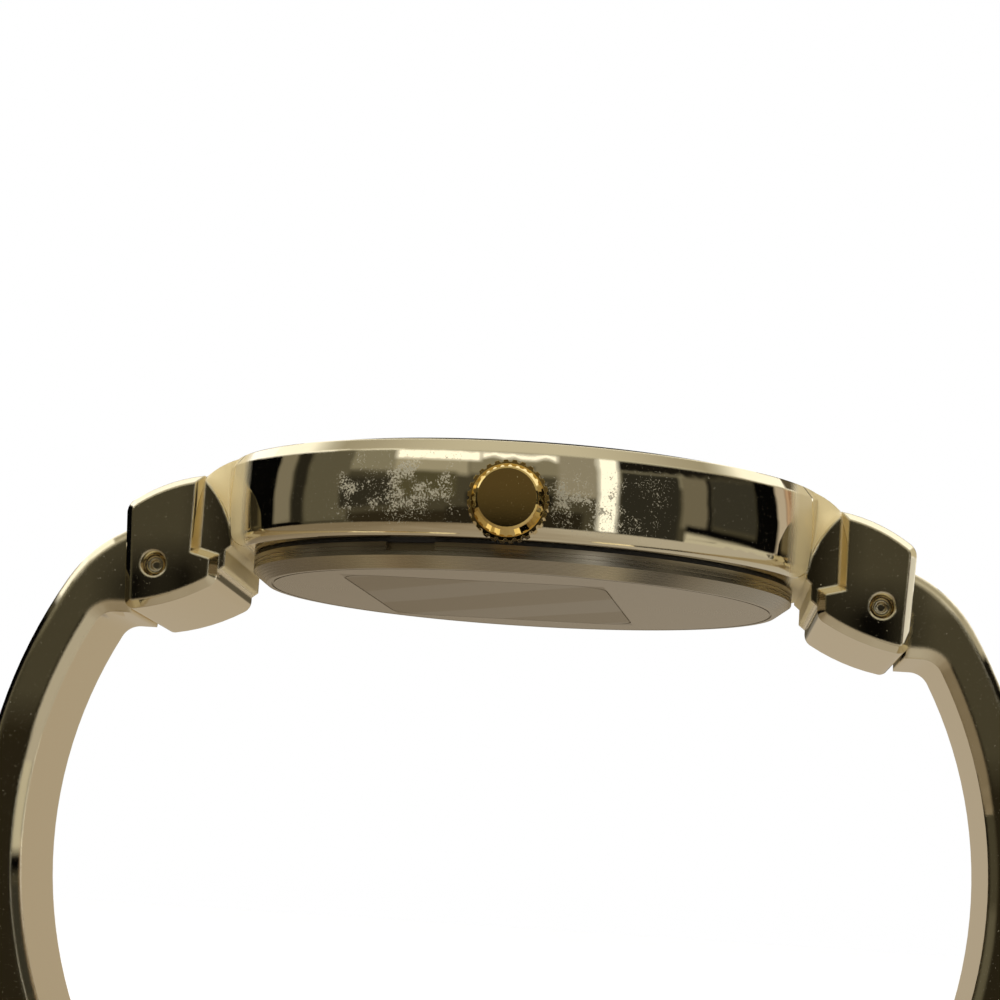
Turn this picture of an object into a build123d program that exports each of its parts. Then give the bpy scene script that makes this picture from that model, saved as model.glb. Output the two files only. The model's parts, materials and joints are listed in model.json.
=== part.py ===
from build123d import *
from math import acos, atan2, cos, degrees, hypot, pi, radians, sin, sqrt, tan
import os

# Bangle watch, in millimetres.
# The origin is the centre of the flat outer face of the case back. +Z points out through the dial,
# +X to 12 o'clock and -Y to 3 o'clock, where the crown is. The wrist goes through along Y, below the case.

# Case
case_radius = 18.5
case_underside = 1.55
bezel_height = 6.96
bezel_bevel_width = 0.5
bezel_bevel_drop = 0.66
bezel_crown_rise = 0.06
wall_bulge = 0.12
lower_round = 0.85
case_wall = 2.65
case_bore_radius = case_radius - case_wall
dial_lip_width = 0.55
dial_lip_bottom = 5.75

# Crystal and its gasket
crystal_inset = 1.95
crystal_radius = case_radius - crystal_inset
crystal_thickness = 1.2
crystal_top = 7.3
crystal_chamfer = 0.2
crystal_gasket_wall = 0.45
crystal_gasket_foot_width = 0.5
crystal_gasket_top = 6.8
crystal_seat = 6.05

# Case back, its gasket and its etched frame
back_flange_width = 0.52
back_radius = case_bore_radius + back_flange_width
back_bevel_width = 0.87
back_flat_radius = back_radius - back_bevel_width
back_bevel_height = 0.65
back_flange_top = 1.4
back_thickness = 0.9
back_wall_thickness = 0.8
back_wall_top = 2.75
back_fit_clearance = 0.05
snap_bead_width = 0.4
snap_bead_depth = 0.12
snap_bead_height = 2.3
back_gasket_wall = 0.3
pry_notch_width = 3.0
pry_notch_depth = 0.5
pry_notch_angle = 250.0
panel_length = 21.4
panel_width = 15.4
panel_corner = 2.2
panel_centre_x = -1.7
panel_centre_y = 0.6
panel_turn = -4.0
panel_line_width = 0.22
panel_line_depth = 0.06
turned_line_width = 0.12
back_wall_line_shares = (0.3, 0.6)
back_rim_line_radius = 15.1
turned_line_depth = 0.08

# Lug blocks, which carry the hinges
block_half_width = 8.06
block_gap = 0.25
block_inner_x = case_radius + block_gap
block_top_inner_z = 5.6
block_top_middle_reach = 2.3
block_top_middle_x = block_inner_x + block_top_middle_reach
block_top_middle_z = 4.92
block_top_outer_reach = 4.48
block_top_outer_x = block_inner_x + block_top_outer_reach
block_top_outer_z = 3.6
block_bottom_outer_reach = 4.15
block_bottom_outer_x = block_inner_x + block_bottom_outer_reach
block_bottom_outer_z = -2.6
block_bottom_middle_reach = 1.9
block_bottom_middle_x = block_inner_x + block_bottom_middle_reach
block_bottom_middle_z = -2.12
block_foot_reach = 1.15
block_bottom_inner_x = block_inner_x - block_foot_reach
block_bottom_inner_z = -0.7
block_step_z = 0.95
block_step_rise = 0.3
block_outer_round = 0.9
block_inner_round = 0.8
block_foot_round = 0.55
block_bevel_width = 0.42
block_bevel_depth = 0.7
neck_half_width = 7.3
neck_crest_half_width = 6.3
neck_depth = 1.9
neck_root_x = block_inner_x - neck_depth
neck_root_z = 1.75
neck_flank_z = 5.35
neck_shoulder_depth = 0.98
neck_shoulder_x = block_inner_x - neck_shoulder_depth
neck_shoulder_z = 4.15
neck_crest_z = 5.75
neck_crest_middle_z = 6.5
neck_crest_root_z = 6.9
neck_root_clearance = 0.5
neck_foot_depth = 1.55
neck_foot_x = block_inner_x - neck_foot_depth
neck_foot_z = 0.3
neck_floor_depth = 0.8
neck_floor_x = block_inner_x - neck_floor_depth
neck_floor_z = -0.3

# Hinges
pin_reach = 2.55
pin_x = block_inner_x + pin_reach
pin_z = 0.15
pin_radius = 0.55
pin_recess = 0.8
pin_dimple_radius = 0.3
pin_dimple_depth = 0.5
pin_fit = 0.02
select_within = 0.02
knuckle_radius = 1.75
knuckle_running_fit = 0.05
hinge_clearance = 0.12
arm_side_clearance = 0.12
countersink_radius = 0.78
countersink_depth = 0.3
shoulder_face_angle = 61.0
swing_angle = 20.0
swing_margin_angle = 3.0
heel_z = -2.5

# Hinge springs
spring_wire_radius = 0.14
spring_coil_radius = 0.98
spring_turns = 5
spring_gap = 0.12
spring_leg_reach = 2.5
spring_leg_angle = 160.0
spring_leg_fit = 0.05
spring_lap_angle = 5.0
spring_room_angle = 8.0
spring_slot_clearance = 0.25
spring_anchor_angle = -12.0
spring_anchor_reach = 2.6

# Bangle arms
arm_half_width = 5.1
arm_thickness = 2.8
arm_arc_radius = 27.0
arm_bend_setback = 1.128
arm_bend_drop = 4.871
arm_bend_centre_x = pin_x - arm_bend_setback
arm_bend_centre_z = pin_z - arm_bend_drop
arm_bend_angle = 31.0
arm_bend_radius = 5.1
arm_heel_round = 1.3
arm_outer_chamfer = 0.42
arm_inner_chamfer = 0.55
arm_gap_half_width = 11.0
arm_tip_corner = 3.6

# Crown, its tube, gasket and stem
stem_height = 3.4
crown_radius = 2.24
crown_gap = 0.25
crown_grip_length = 1.25
crown_shoulder_radius = 2.02
crown_shoulder_length = 0.6
crown_face_radius = 1.71
crown_face_length = 0.5
crown_face_chamfer = 0.1
crown_flutes = 28
crown_flute_radius = 0.13
crown_cavity_radius = 1.42
crown_cavity_depth = 1.45
crown_tube_radius = 1.0
crown_tube_bore = 0.58
crown_tube_end_gap = 0.3
crown_gasket_length = 0.5
crown_gasket_fit = 0.03
crown_pull = 0.8
stem_radius = 0.5
stem_pilot_radius = 0.28
stem_neck_radius = 0.36
stem_neck_start = 6.9
stem_inner_end = 4.0
stem_groove_radius = 0.28
stem_groove_place = 9.2
stem_groove_width = 0.5
stem_thread_engagement = 0.6

# Dial, its ring, markers and hands
dial_edge_gap = 0.25
dial_radius = case_bore_radius - dial_edge_gap
dial_thickness = 0.4
dial_top = 4.55
dial_hole_radius = 1.1
dial_foot_radius = 0.35
dial_foot_length = 0.9
dial_foot_places = ((4.5, 9.3), (-6.5, -8.9))
dial_foot_clearance = 0.04
dial_ring_bottom_width = 0.75
dial_ring_top_width = 0.3
dial_ring_clearance = 0.05
marker_count = 12
marker_edge_gap = 2.2
marker_outer_radius = dial_radius - marker_edge_gap
marker_length = 2.3
marker_width = 0.42
marker_height = 0.25
marker_chamfer = 0.08
marker_pair_spacing = 0.75
hour_hand_length = 8.2
hour_hand_width = 0.95
hour_hand_bottom = 4.95
minute_hand_length = 12.2
minute_hand_width = 0.75
minute_hand_bottom = 5.27
seconds_hand_length = 12.9
seconds_hand_tail = 3.4
seconds_hand_width = 0.22
seconds_hand_bottom = 5.6
hand_thickness = 0.14
hand_tip_width = 0.12
hand_hub_margin = 0.45
hand_taper_start_share = 0.72
hour_hand_angle = 305.0
minute_hand_angle = 54.0
seconds_hand_angle = 210.0

# Movement: plates and holder
movement_radius = 11.7
plate_bottom = 2.9
plate_top = 4.1
holder_fit = 0.12
holder_bottom = 1.15
holder_edge_gap = 1.0
holder_radius = case_bore_radius - holder_edge_gap
holder_flange_gap = 0.25
holder_flange_radius = case_bore_radius - holder_flange_gap
holder_flange_thickness = 0.45
holder_slot_half_width = 0.8
holder_window_count = 6
holder_window_radius = 0.9
bridge_top = 1.6
bridge_thickness = 0.25
bridge_margin = 1.05
post_radius = 0.7
bridge_posts = ((-2.6, 4.6), (2.6, -3.1), (-3.6, -4.6))
screw_head_radius = 0.62
screw_head_height = 0.22
screw_radius = 0.3
screw_length = 0.9
screw_slot_width = 0.16
screw_slot_depth = 0.1
motion_recess_floor = 3.5
recess_margin = 0.15

# Gear train, from the stepping motor to the hands: tooth counts and modules
rotor_pinion_teeth = 8
fifth_wheel_teeth = 48
fifth_pinion_teeth = 8
fourth_wheel_teeth = 40
fourth_pinion_teeth = 8
third_wheel_teeth = 60
third_pinion_teeth = 8
centre_wheel_teeth = 64
cannon_teeth = 12
minute_wheel_teeth = 36
minute_pinion_teeth = 12
hour_wheel_teeth = 48
setting_wheel_teeth = 18
rotor_module = 0.1
fifth_module = 0.14
fourth_module = 0.1
cannon_module = 0.12
tooth_backlash_share = 0.12
tooth_root_share = 1.2
tooth_tip_share = 0.9
flank_angle = 20.0
fifth_direction = 200.0
rotor_direction = 150.0
third_direction = 60.0
minute_wheel_direction = 230.0
setting_wheel_x = -1.62

# Gear train: heights of wheels and pinions
wheel_thickness = 0.15
fourth_wheel_bottom = 1.75
fourth_pinion_top = 2.28
third_wheel_bottom = 2.02
third_pinion_top = 2.75
centre_wheel_bottom = 2.45
fifth_wheel_bottom = 2.05
fifth_pinion_bottom = 1.68
rotor_pinion_bottom = 1.95
rotor_pinion_top = 2.28
cannon_bottom = 3.58
cannon_pinion_top = 3.98
minute_wheel_bottom = 3.58
minute_pinion_top = 4.0
hour_wheel_bottom = 3.8
arbor_radius = 0.12
pivot_end_top = 3.15
pivot_end_bottom = 1.4
pivot_fit = 0.04
wheel_rim = 0.35
wheel_hub_radius = 0.55
spoke_windows = 5
window_radius_share = 0.34
seconds_arbor_radius = 0.15
centre_tube_bore = 0.2
centre_tube_radius = 0.3
centre_tube_top = 4.4
centre_plate_hole = 0.36
cannon_bore = 0.33
cannon_pipe_radius = 0.6
hour_pipe_bore = 0.64
hour_pipe_radius = 0.92
dial_washer_radius = 1.9
dial_washer_thickness = 0.08
stud_radius = 0.22

# Stepping motor
rotor_magnet_radius = 0.7
rotor_magnet_bottom = 2.35
rotor_magnet_top = 2.75
stator_bottom = 2.4
stator_top = 2.7
stator_bore = 0.95
stator_ring_radius = 1.7
stator_leg_width = 1.3
coil_x = -9.0
coil_half_length = 4.1
coil_end_y = 5.2
coil_radius = 0.95
coil_bobbin_wall = 0.2
core_thickness = 0.4
core_width = 0.7
core_pad_radius = 0.85
coil_pocket_margin = 0.2

# Battery, circuit and quartz
battery_radius = 3.4
battery_thickness = 2.15
battery_bottom = 1.25
battery_x = 7.2
battery_y = -2.9
battery_rim = 0.35
battery_step = 0.2
battery_clearance = 0.12
battery_contact_thickness = 0.1
battery_contact_radius = 1.6
clamp_thickness = 0.15
clamp_width = 2.0
clamp_corner_share = 0.33
clamp_post_x = 8.3
clamp_post_y = 2.9
board_inner_radius = 4.9
board_outer_radius = 11.0
board_start_angle = 222.0
board_end_angle = 300.0
board_thickness = 0.2
board_posts = ((3.6, -8.4), (-7.3, -7.4))
board_post_radius = 0.5
chip_side = 1.8
chip_height = 0.5
chip_x = 0.6
chip_y = -7.0
quartz_radius = 0.72
quartz_length = 4.0
quartz_angle = 240.0
quartz_distance = 9.0

# Setting works
lever_pivot_x = 2.4
lever_bottom = 2.55
lever_top = 2.82
lever_hub_radius = 0.55
lever_width = 0.5
lever_pin_radius = 0.19
clutch_outer_end = 4.75
clutch_length = 0.6
clutch_radius = 0.5
clutch_teeth = 10
clutch_pocket_margin = 0.15

# Cutting tools reach this far past what they cut
overrun = 1.0

ON_BASE = (Align.CENTER, Align.CENTER, Align.MIN)
SIDES = {"12": 1, "6": -1}
full_turn = 2 * pi


# Shape helpers
def disc(radius, bottom, top, centre=(0, 0)):
    return Pos(centre[0], centre[1], bottom) * Cylinder(radius, top - bottom, align=ON_BASE)


def ring(outer, inner, bottom, top, centre=(0, 0)):
    return disc(outer, bottom, top, centre) - disc(inner, bottom - overrun, top + overrun, centre)


def bar(x_low, x_high, y_low, y_high, z_low, z_high):
    size = Box(x_high - x_low, y_high - y_low, z_high - z_low, align=(Align.MIN, Align.MIN, Align.MIN))
    return Pos(x_low, y_low, z_low) * size


def rod_y(radius, y_low, y_high, x=0, z=0):
    return Pos(x, y_low, z) * Rot(-90, 0, 0) * Cylinder(radius, y_high - y_low, align=ON_BASE)


def turned(points):
    outline = Polyline([(r, 0, z) for r, z in points], close=True)
    return revolve(make_face(outline), Axis.Z, 360)


def slab(points, half_width):
    outline = Polyline([(x, 0, z) for x, z in points], close=True)
    return extrude(make_face(outline), amount=half_width, both=True)


def at_angle(angle, distance, centre=(0, 0)):
    return (centre[0] + distance * cos(radians(angle)), centre[1] + distance * sin(radians(angle)))


def mirrored(shape, side):
    return shape if side > 0 else mirror(shape, about=Plane.YZ)


# Case body: the turned band with its bezel, two necks and the two lug blocks
def case_band():
    wall_bottom = case_underside + lower_round
    wall_top = bezel_height - bezel_bevel_drop
    bezel_radius = case_radius - bezel_bevel_width
    seat_radius = crystal_radius + crystal_gasket_wall
    lip_radius = case_bore_radius - dial_lip_width
    round_middle = lower_round * (1 - cos(radians(45)))
    outline = [
        Line((case_bore_radius, 0, case_underside), (case_radius - lower_round, 0, case_underside)),
        ThreePointArc(
            (case_radius - lower_round, 0, case_underside),
            (case_radius - round_middle, 0, case_underside + round_middle),
            (case_radius, 0, wall_bottom),
        ),
        ThreePointArc(
            (case_radius, 0, wall_bottom),
            (case_radius + wall_bulge, 0, (wall_bottom + wall_top) / 2),
            (case_radius, 0, wall_top),
        ),
        Polyline([(r, 0, z) for r, z in (
            (case_radius, wall_top),
            (bezel_radius, bezel_height),
            (seat_radius, bezel_height + bezel_crown_rise),
            (seat_radius, crystal_seat),
            (lip_radius, crystal_seat),
            (lip_radius, dial_lip_bottom),
            (case_bore_radius, dial_lip_bottom),
            (case_bore_radius, case_underside),
        )]),
    ]
    band = revolve(make_face(outline), Axis.Z, 360)
    snap_groove = ring(
        case_bore_radius + snap_bead_depth + back_fit_clearance,
        case_bore_radius - overrun,
        snap_bead_height - snap_bead_width,
        snap_bead_height + snap_bead_width,
    )
    return band - snap_groove


def lug_block():
    top = ThreePointArc(
        (block_inner_x, 0, block_top_inner_z),
        (block_top_middle_x, 0, block_top_middle_z),
        (block_top_outer_x, 0, block_top_outer_z),
    )
    outer = Line((block_top_outer_x, 0, block_top_outer_z), (block_bottom_outer_x, 0, block_bottom_outer_z))
    bottom = ThreePointArc(
        (block_bottom_outer_x, 0, block_bottom_outer_z),
        (block_bottom_middle_x, 0, block_bottom_middle_z),
        (block_bottom_inner_x, 0, block_bottom_inner_z),
    )
    inner = lines_through([
        (block_bottom_inner_x, block_bottom_inner_z),
        (block_bottom_inner_x, block_step_z),
        (block_inner_x, block_step_z + block_step_rise),
        (block_inner_x, block_top_inner_z),
    ])
    block = extrude(make_face([top, outer, bottom, *inner]), amount=block_half_width, both=True)
    corners = (
        (block_top_outer_x, block_top_outer_z, block_outer_round),
        (block_bottom_outer_x, block_bottom_outer_z, block_foot_round),
        (block_bottom_inner_x, block_bottom_inner_z, block_inner_round),
    )
    for x, z, radius in corners:
        block = fillet([cross_edge(block, x, z)], radius)
    for end in (1, -1):
        face = block.faces().sort_by(Axis.Y)[-1 if end > 0 else 0]
        block = chamfer(face.edges(), block_bevel_width, block_bevel_depth, reference=face)
    return block


def cross_edge(body, x, z):
    return min(
        body.edges().filter_by(Axis.Y),
        key=lambda edge: hypot(edge.center().X - x, edge.center().Z - z),
    )


def neck_section(top_z, middle_z, root_z):
    top = ThreePointArc(
        (block_inner_x, 0, top_z),
        (neck_shoulder_x, 0, middle_z),
        (neck_root_x, 0, root_z),
    )
    inside_x = block_top_middle_x - block_outer_round
    rest = lines_through([
        (neck_root_x, root_z),
        (neck_root_x, case_underside),
        (neck_foot_x, block_step_z + block_step_rise),
        (neck_foot_x, neck_foot_z),
        (neck_floor_x, neck_floor_z),
        (inside_x, neck_floor_z),
        (inside_x, block_top_middle_z),
        (block_inner_x, top_z),
    ])
    return make_face([top, *rest])


def neck():
    crest = neck_section(neck_crest_z, neck_crest_middle_z, neck_crest_root_z)
    flank = neck_section(neck_flank_z, neck_shoulder_z, neck_root_z)
    body = extrude(crest, amount=neck_crest_half_width, both=True)
    for end in (1, -1):
        inner_end = Pos(0, end * neck_crest_half_width, 0) * crest
        outer_end = Pos(0, end * neck_half_width, 0) * flank
        body += loft([inner_end, outer_end], ruled=True)
    seat_radius = crystal_radius + crystal_gasket_wall + neck_root_clearance
    return body - disc(seat_radius, dial_lip_bottom, crystal_top)


def hinge_pocket():
    half = arm_half_width + arm_side_clearance
    stop = radians(shoulder_face_angle + swing_angle + swing_margin_angle)
    reach = block_top_outer_x - pin_x + block_half_width
    knuckle_room = rod_y(knuckle_radius + hinge_clearance, -half, half, pin_x, pin_z)
    swing_room = slab([
        (pin_x, pin_z),
        (pin_x + reach, pin_z),
        (pin_x + reach, pin_z + reach),
        (pin_x + reach * cos(stop), pin_z + reach * sin(stop)),
    ], half)
    leg_room = spring_leg_room()
    return knuckle_room + swing_room + leg_room


def spring_coil_length():
    turns = spring_turns + (spring_leg_angle - spring_anchor_angle + 2 * spring_lap_angle) / 360
    return turns * (2 * spring_wire_radius + spring_gap)


def spring_half_length():
    return spring_coil_length() / 2 + spring_wire_radius


def spring_leg_room():
    half = spring_half_length() + spring_slot_clearance
    reach = spring_leg_reach + spring_slot_clearance
    high = spring_leg_angle - spring_room_angle
    low = spring_leg_angle + swing_angle + spring_room_angle
    corners = [at_angle(angle, reach, (pin_x, pin_z)) for angle in (high, low)]
    return slab([(pin_x, pin_z), *corners], half)


def pin_hole():
    reach = block_half_width + overrun
    through = rod_y(pin_radius + pin_fit, -reach, reach, pin_x, pin_z)
    for end in (1, -1):
        mouth = Pos(pin_x, end * block_half_width, pin_z) * Rot(90 * end, 0, 0)
        cone = Cone(countersink_radius, pin_radius, countersink_depth, align=ON_BASE)
        through += mouth * cone
    return through


def case_body():
    body = case_band()
    for side in SIDES.values():
        lug = lug_block() + neck()
        lug -= hinge_pocket()
        lug -= pin_hole()
        body += mirrored(lug, side)
    body -= rod_y(crown_tube_radius, -case_radius - overrun, -case_bore_radius + overrun, 0, stem_height)
    return body


# Case furniture
def crystal():
    low = crystal_top - crystal_thickness
    glass = disc(crystal_radius, low, crystal_top)
    rims = glass.edges().group_by(Axis.Z)
    return chamfer(rims[-1], crystal_chamfer)


def crystal_gasket():
    low = crystal_top - crystal_thickness
    outer = crystal_radius + crystal_gasket_wall
    wall = ring(outer, crystal_radius, crystal_seat, crystal_gasket_top)
    foot = ring(outer, outer - crystal_gasket_wall - crystal_gasket_foot_width, crystal_seat, low)
    return wall + foot


def case_back():
    wall_outer = case_bore_radius - back_fit_clearance
    wall_inner = wall_outer - back_wall_thickness
    bead = wall_outer + snap_bead_depth
    shell = turned([
        (0, 0),
        (back_flat_radius, 0),
        (back_radius, back_bevel_height),
        (back_radius, back_flange_top),
        (wall_outer, back_flange_top),
        (wall_outer, snap_bead_height - snap_bead_width / 2),
        (bead, snap_bead_height),
        (wall_outer, snap_bead_height + snap_bead_width / 2),
        (wall_outer, back_wall_top),
        (wall_inner, back_wall_top),
        (wall_inner, back_thickness),
        (0, back_thickness),
    ])
    spread = panel_line_width / 2
    outer_frame = RectangleRounded(panel_width + spread, panel_length + spread, panel_corner + spread / 2)
    inner_frame = RectangleRounded(panel_width - spread, panel_length - spread, panel_corner - spread / 2)
    frame_line = extrude(outer_frame - inner_frame, amount=panel_line_depth)
    shell -= Pos(panel_centre_x, panel_centre_y, 0) * Rot(0, 0, panel_turn) * frame_line
    for line_share in back_wall_line_shares:
        height = back_bevel_height + (back_flange_top - back_bevel_height) * line_share
        shell -= ring(
            back_radius + overrun,
            back_radius - turned_line_depth,
            height - turned_line_width / 2,
            height + turned_line_width / 2,
        )
    rim_line_outer = back_rim_line_radius + turned_line_width
    shell -= ring(rim_line_outer, back_rim_line_radius, -overrun, turned_line_depth)
    notch = bar(
        back_radius - pry_notch_depth, back_radius + overrun,
        -pry_notch_width / 2, pry_notch_width / 2,
        back_flange_top - pry_notch_depth, back_flange_top,
    )
    return shell - Rot(0, 0, pry_notch_angle) * notch


def case_back_gasket():
    inner = case_bore_radius + back_fit_clearance
    return ring(inner + back_gasket_wall, inner, back_flange_top, case_underside)


# Crown and stem
def crown_inner_end():
    return case_radius + crown_gap


def crown():
    inner = crown_inner_end()
    grip_end = inner + crown_grip_length
    shoulder_end = grip_end + crown_shoulder_length
    grip = rod_y(crown_radius, -grip_end, -inner, 0, stem_height)
    for flute in range(crown_flutes):
        angle = full_turn * flute / crown_flutes
        x = crown_radius * cos(angle)
        z = stem_height + crown_radius * sin(angle)
        grip -= rod_y(crown_flute_radius, -grip_end - overrun, -inner + overrun, x, z)
    shoulder = Pos(0, -grip_end, stem_height) * Rot(90, 0, 0) * Cone(
        crown_shoulder_radius, crown_face_radius, crown_shoulder_length, align=ON_BASE)
    face = rod_y(crown_face_radius, -shoulder_end - crown_face_length, -shoulder_end, 0, stem_height)
    face = chamfer(face.edges().group_by(Axis.Y)[0], crown_face_chamfer)
    cavity = rod_y(crown_cavity_radius, -inner - crown_cavity_depth, -inner + overrun, 0, stem_height)
    socket_end = inner + crown_cavity_depth + stem_thread_engagement
    socket = rod_y(stem_radius, -socket_end, -inner, 0, stem_height)
    return grip + shoulder + face - cavity - socket


def crown_tube():
    outer_end = crown_inner_end() + crown_cavity_depth - crown_tube_end_gap
    tube = rod_y(crown_tube_radius, -outer_end, -case_bore_radius, 0, stem_height)
    return tube - rod_y(crown_tube_bore, -outer_end - overrun, -case_bore_radius + overrun, 0, stem_height)


def crown_gasket():
    middle = crown_inner_end() + crown_cavity_depth / 2
    low = -middle - crown_gasket_length / 2
    seal = rod_y(crown_cavity_radius - crown_gasket_fit, low, low + crown_gasket_length, 0, stem_height)
    bore = crown_tube_radius + crown_gasket_fit
    return seal - rod_y(bore, low - overrun, low + crown_gasket_length + overrun, 0, stem_height)


def winding_stem():
    outer_end = crown_inner_end() + crown_cavity_depth + stem_thread_engagement
    stem = rod_y(stem_radius, -outer_end, -stem_neck_start, 0, stem_height)
    stem += rod_y(stem_neck_radius, -stem_neck_start, -clutch_outer_end, 0, stem_height)
    stem += rod_y(stem_pilot_radius, -clutch_outer_end, -stem_inner_end, 0, stem_height)
    groove_low = -stem_groove_place - stem_groove_width / 2
    groove = rod_y(stem_radius + overrun, groove_low, groove_low + stem_groove_width, 0, stem_height)
    groove -= rod_y(stem_groove_radius, groove_low - overrun, groove_low + stem_groove_width + overrun,
                    0, stem_height)
    return stem - groove


def clutch_pinion():
    low = -clutch_outer_end
    pinion = Pos(0, low, stem_height) * Rot(-90, 0, 0) * toothed_disc(
        2 * clutch_radius / (clutch_teeth + 2), clutch_teeth, 0, 0, clutch_length)
    return pinion - rod_y(stem_pilot_radius, low - overrun, low + clutch_length + overrun, 0, stem_height)


# Toothed wheels
def toothed_disc(module, teeth, phase, bottom, top, centre=(0, 0)):
    pitch_radius = module * teeth / 2
    tip = pitch_radius + module * tooth_tip_share
    root = pitch_radius - module * tooth_root_share
    half_pitch_width = pi * module / 4 * (1 - tooth_backlash_share)
    half_tip = (half_pitch_width - (tip - pitch_radius) * tan(radians(flank_angle))) / tip
    half_root = (half_pitch_width + (pitch_radius - root) * tan(radians(flank_angle))) / root
    half_root = min(half_root, pi / teeth * (1 - tooth_backlash_share))
    points = []
    for tooth in range(teeth):
        middle = phase + full_turn * tooth / teeth
        for angle, radius in (
            (-half_root, root), (-half_tip, tip), (half_tip, tip), (half_root, root),
        ):
            points.append((radius * cos(middle + angle), radius * sin(middle + angle)))
    outline = make_face(Polyline(points, close=True))
    return Pos(centre[0], centre[1], bottom) * extrude(outline, amount=top - bottom)


def spoked(wheel, module, teeth, bottom, top, centre, hub=wheel_hub_radius):
    inner = hub
    outer = module * (teeth / 2 - tooth_root_share) - wheel_rim
    window_radius = (outer - inner) * window_radius_share
    middle = (outer + inner) / 2
    for window in range(spoke_windows):
        place = at_angle(360 * window / spoke_windows, middle, centre)
        wheel -= disc(window_radius, bottom - overrun, top + overrun, place)
    return wheel


def meshed_phase(leader_phase, leader_teeth, follower_teeth, direction):
    ahead = (leader_phase - radians(direction)) * leader_teeth / full_turn
    return radians(direction) + pi - (ahead + 0.5) * full_turn / follower_teeth


def centre_distance(module, teeth_a, teeth_b):
    return module * (teeth_a + teeth_b) / 2


axis_centre = (0, 0)
fifth_centre = at_angle(
    fifth_direction, centre_distance(fifth_module, fourth_wheel_teeth, fifth_pinion_teeth))
rotor_centre = at_angle(
    rotor_direction, centre_distance(rotor_module, fifth_wheel_teeth, rotor_pinion_teeth), fifth_centre)
third_distance = centre_distance(fourth_module, fourth_pinion_teeth, third_wheel_teeth)
third_centre = at_angle(third_direction, third_distance)
centre_module = 2 * third_distance / (third_pinion_teeth + centre_wheel_teeth)
minute_distance = centre_distance(cannon_module, cannon_teeth, minute_wheel_teeth)
minute_wheel_centre = at_angle(minute_wheel_direction, minute_distance)
hour_module = 2 * minute_distance / (minute_pinion_teeth + hour_wheel_teeth)
setting_distance = centre_distance(cannon_module, minute_wheel_teeth, setting_wheel_teeth)
setting_centre = (
    setting_wheel_x,
    minute_wheel_centre[1] - sqrt(setting_distance**2 - (setting_wheel_x - minute_wheel_centre[0])**2),
)
setting_direction = degrees(atan2(
    setting_centre[1] - minute_wheel_centre[1], setting_centre[0] - minute_wheel_centre[0]))

fifth_pinion_phase = meshed_phase(0, fourth_wheel_teeth, fifth_pinion_teeth, fifth_direction)
rotor_phase = meshed_phase(0, fifth_wheel_teeth, rotor_pinion_teeth, rotor_direction)
third_wheel_phase = meshed_phase(0, fourth_pinion_teeth, third_wheel_teeth, third_direction)
third_pinion_phase = meshed_phase(0, centre_wheel_teeth, third_pinion_teeth, third_direction)
minute_wheel_phase = meshed_phase(0, cannon_teeth, minute_wheel_teeth, minute_wheel_direction)
minute_pinion_phase = meshed_phase(0, hour_wheel_teeth, minute_pinion_teeth, minute_wheel_direction)
setting_phase = meshed_phase(minute_wheel_phase, minute_wheel_teeth, setting_wheel_teeth, setting_direction)


def fourth_wheel():
    top = fourth_wheel_bottom + wheel_thickness
    wheel = toothed_disc(fifth_module, fourth_wheel_teeth, 0, fourth_wheel_bottom, top)
    wheel = spoked(wheel, fifth_module, fourth_wheel_teeth, fourth_wheel_bottom, top, axis_centre)
    pinion = toothed_disc(fourth_module, fourth_pinion_teeth, 0, top, fourth_pinion_top)
    arbor = disc(seconds_arbor_radius, pivot_end_bottom, seconds_hand_bottom + hand_thickness)
    return wheel + pinion + arbor


def fifth_wheel():
    top = fifth_wheel_bottom + wheel_thickness
    wheel = toothed_disc(rotor_module, fifth_wheel_teeth, 0, fifth_wheel_bottom, top, fifth_centre)
    wheel = spoked(wheel, rotor_module, fifth_wheel_teeth, fifth_wheel_bottom, top, fifth_centre)
    pinion = toothed_disc(fifth_module, fifth_pinion_teeth, fifth_pinion_phase,
                          fifth_pinion_bottom, fifth_wheel_bottom, fifth_centre)
    return wheel + pinion + disc(arbor_radius, pivot_end_bottom, pivot_end_top, fifth_centre)


def third_wheel():
    top = third_wheel_bottom + wheel_thickness
    wheel = toothed_disc(fourth_module, third_wheel_teeth, third_wheel_phase,
                         third_wheel_bottom, top, third_centre)
    wheel = spoked(wheel, fourth_module, third_wheel_teeth, third_wheel_bottom, top, third_centre)
    pinion = toothed_disc(centre_module, third_pinion_teeth, third_pinion_phase,
                          top, third_pinion_top, third_centre)
    return wheel + pinion + disc(arbor_radius, pivot_end_bottom, pivot_end_top, third_centre)


def centre_wheel():
    top = centre_wheel_bottom + wheel_thickness
    wheel = toothed_disc(centre_module, centre_wheel_teeth, 0, centre_wheel_bottom, top)
    wheel = spoked(wheel, centre_module, centre_wheel_teeth, centre_wheel_bottom, top, axis_centre)
    wheel += disc(centre_tube_radius, centre_wheel_bottom, centre_tube_top)
    return wheel - disc(centre_tube_bore, centre_wheel_bottom - overrun, centre_tube_top + overrun)


def rotor_pinion():
    pinion = toothed_disc(rotor_module, rotor_pinion_teeth, rotor_phase,
                          rotor_pinion_bottom, rotor_pinion_top, rotor_centre)
    return pinion + disc(arbor_radius, pivot_end_bottom, pivot_end_top, rotor_centre)


def rotor_magnet():
    return ring(rotor_magnet_radius, arbor_radius, rotor_magnet_bottom, rotor_magnet_top, rotor_centre)


def cannon_pinion():
    pinion = toothed_disc(cannon_module, cannon_teeth, 0, cannon_bottom, cannon_pinion_top)
    pipe = disc(cannon_pipe_radius, cannon_bottom, minute_hand_bottom + hand_thickness)
    return pinion + pipe - disc(cannon_bore, cannon_bottom - overrun, minute_hand_bottom + overrun)


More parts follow.
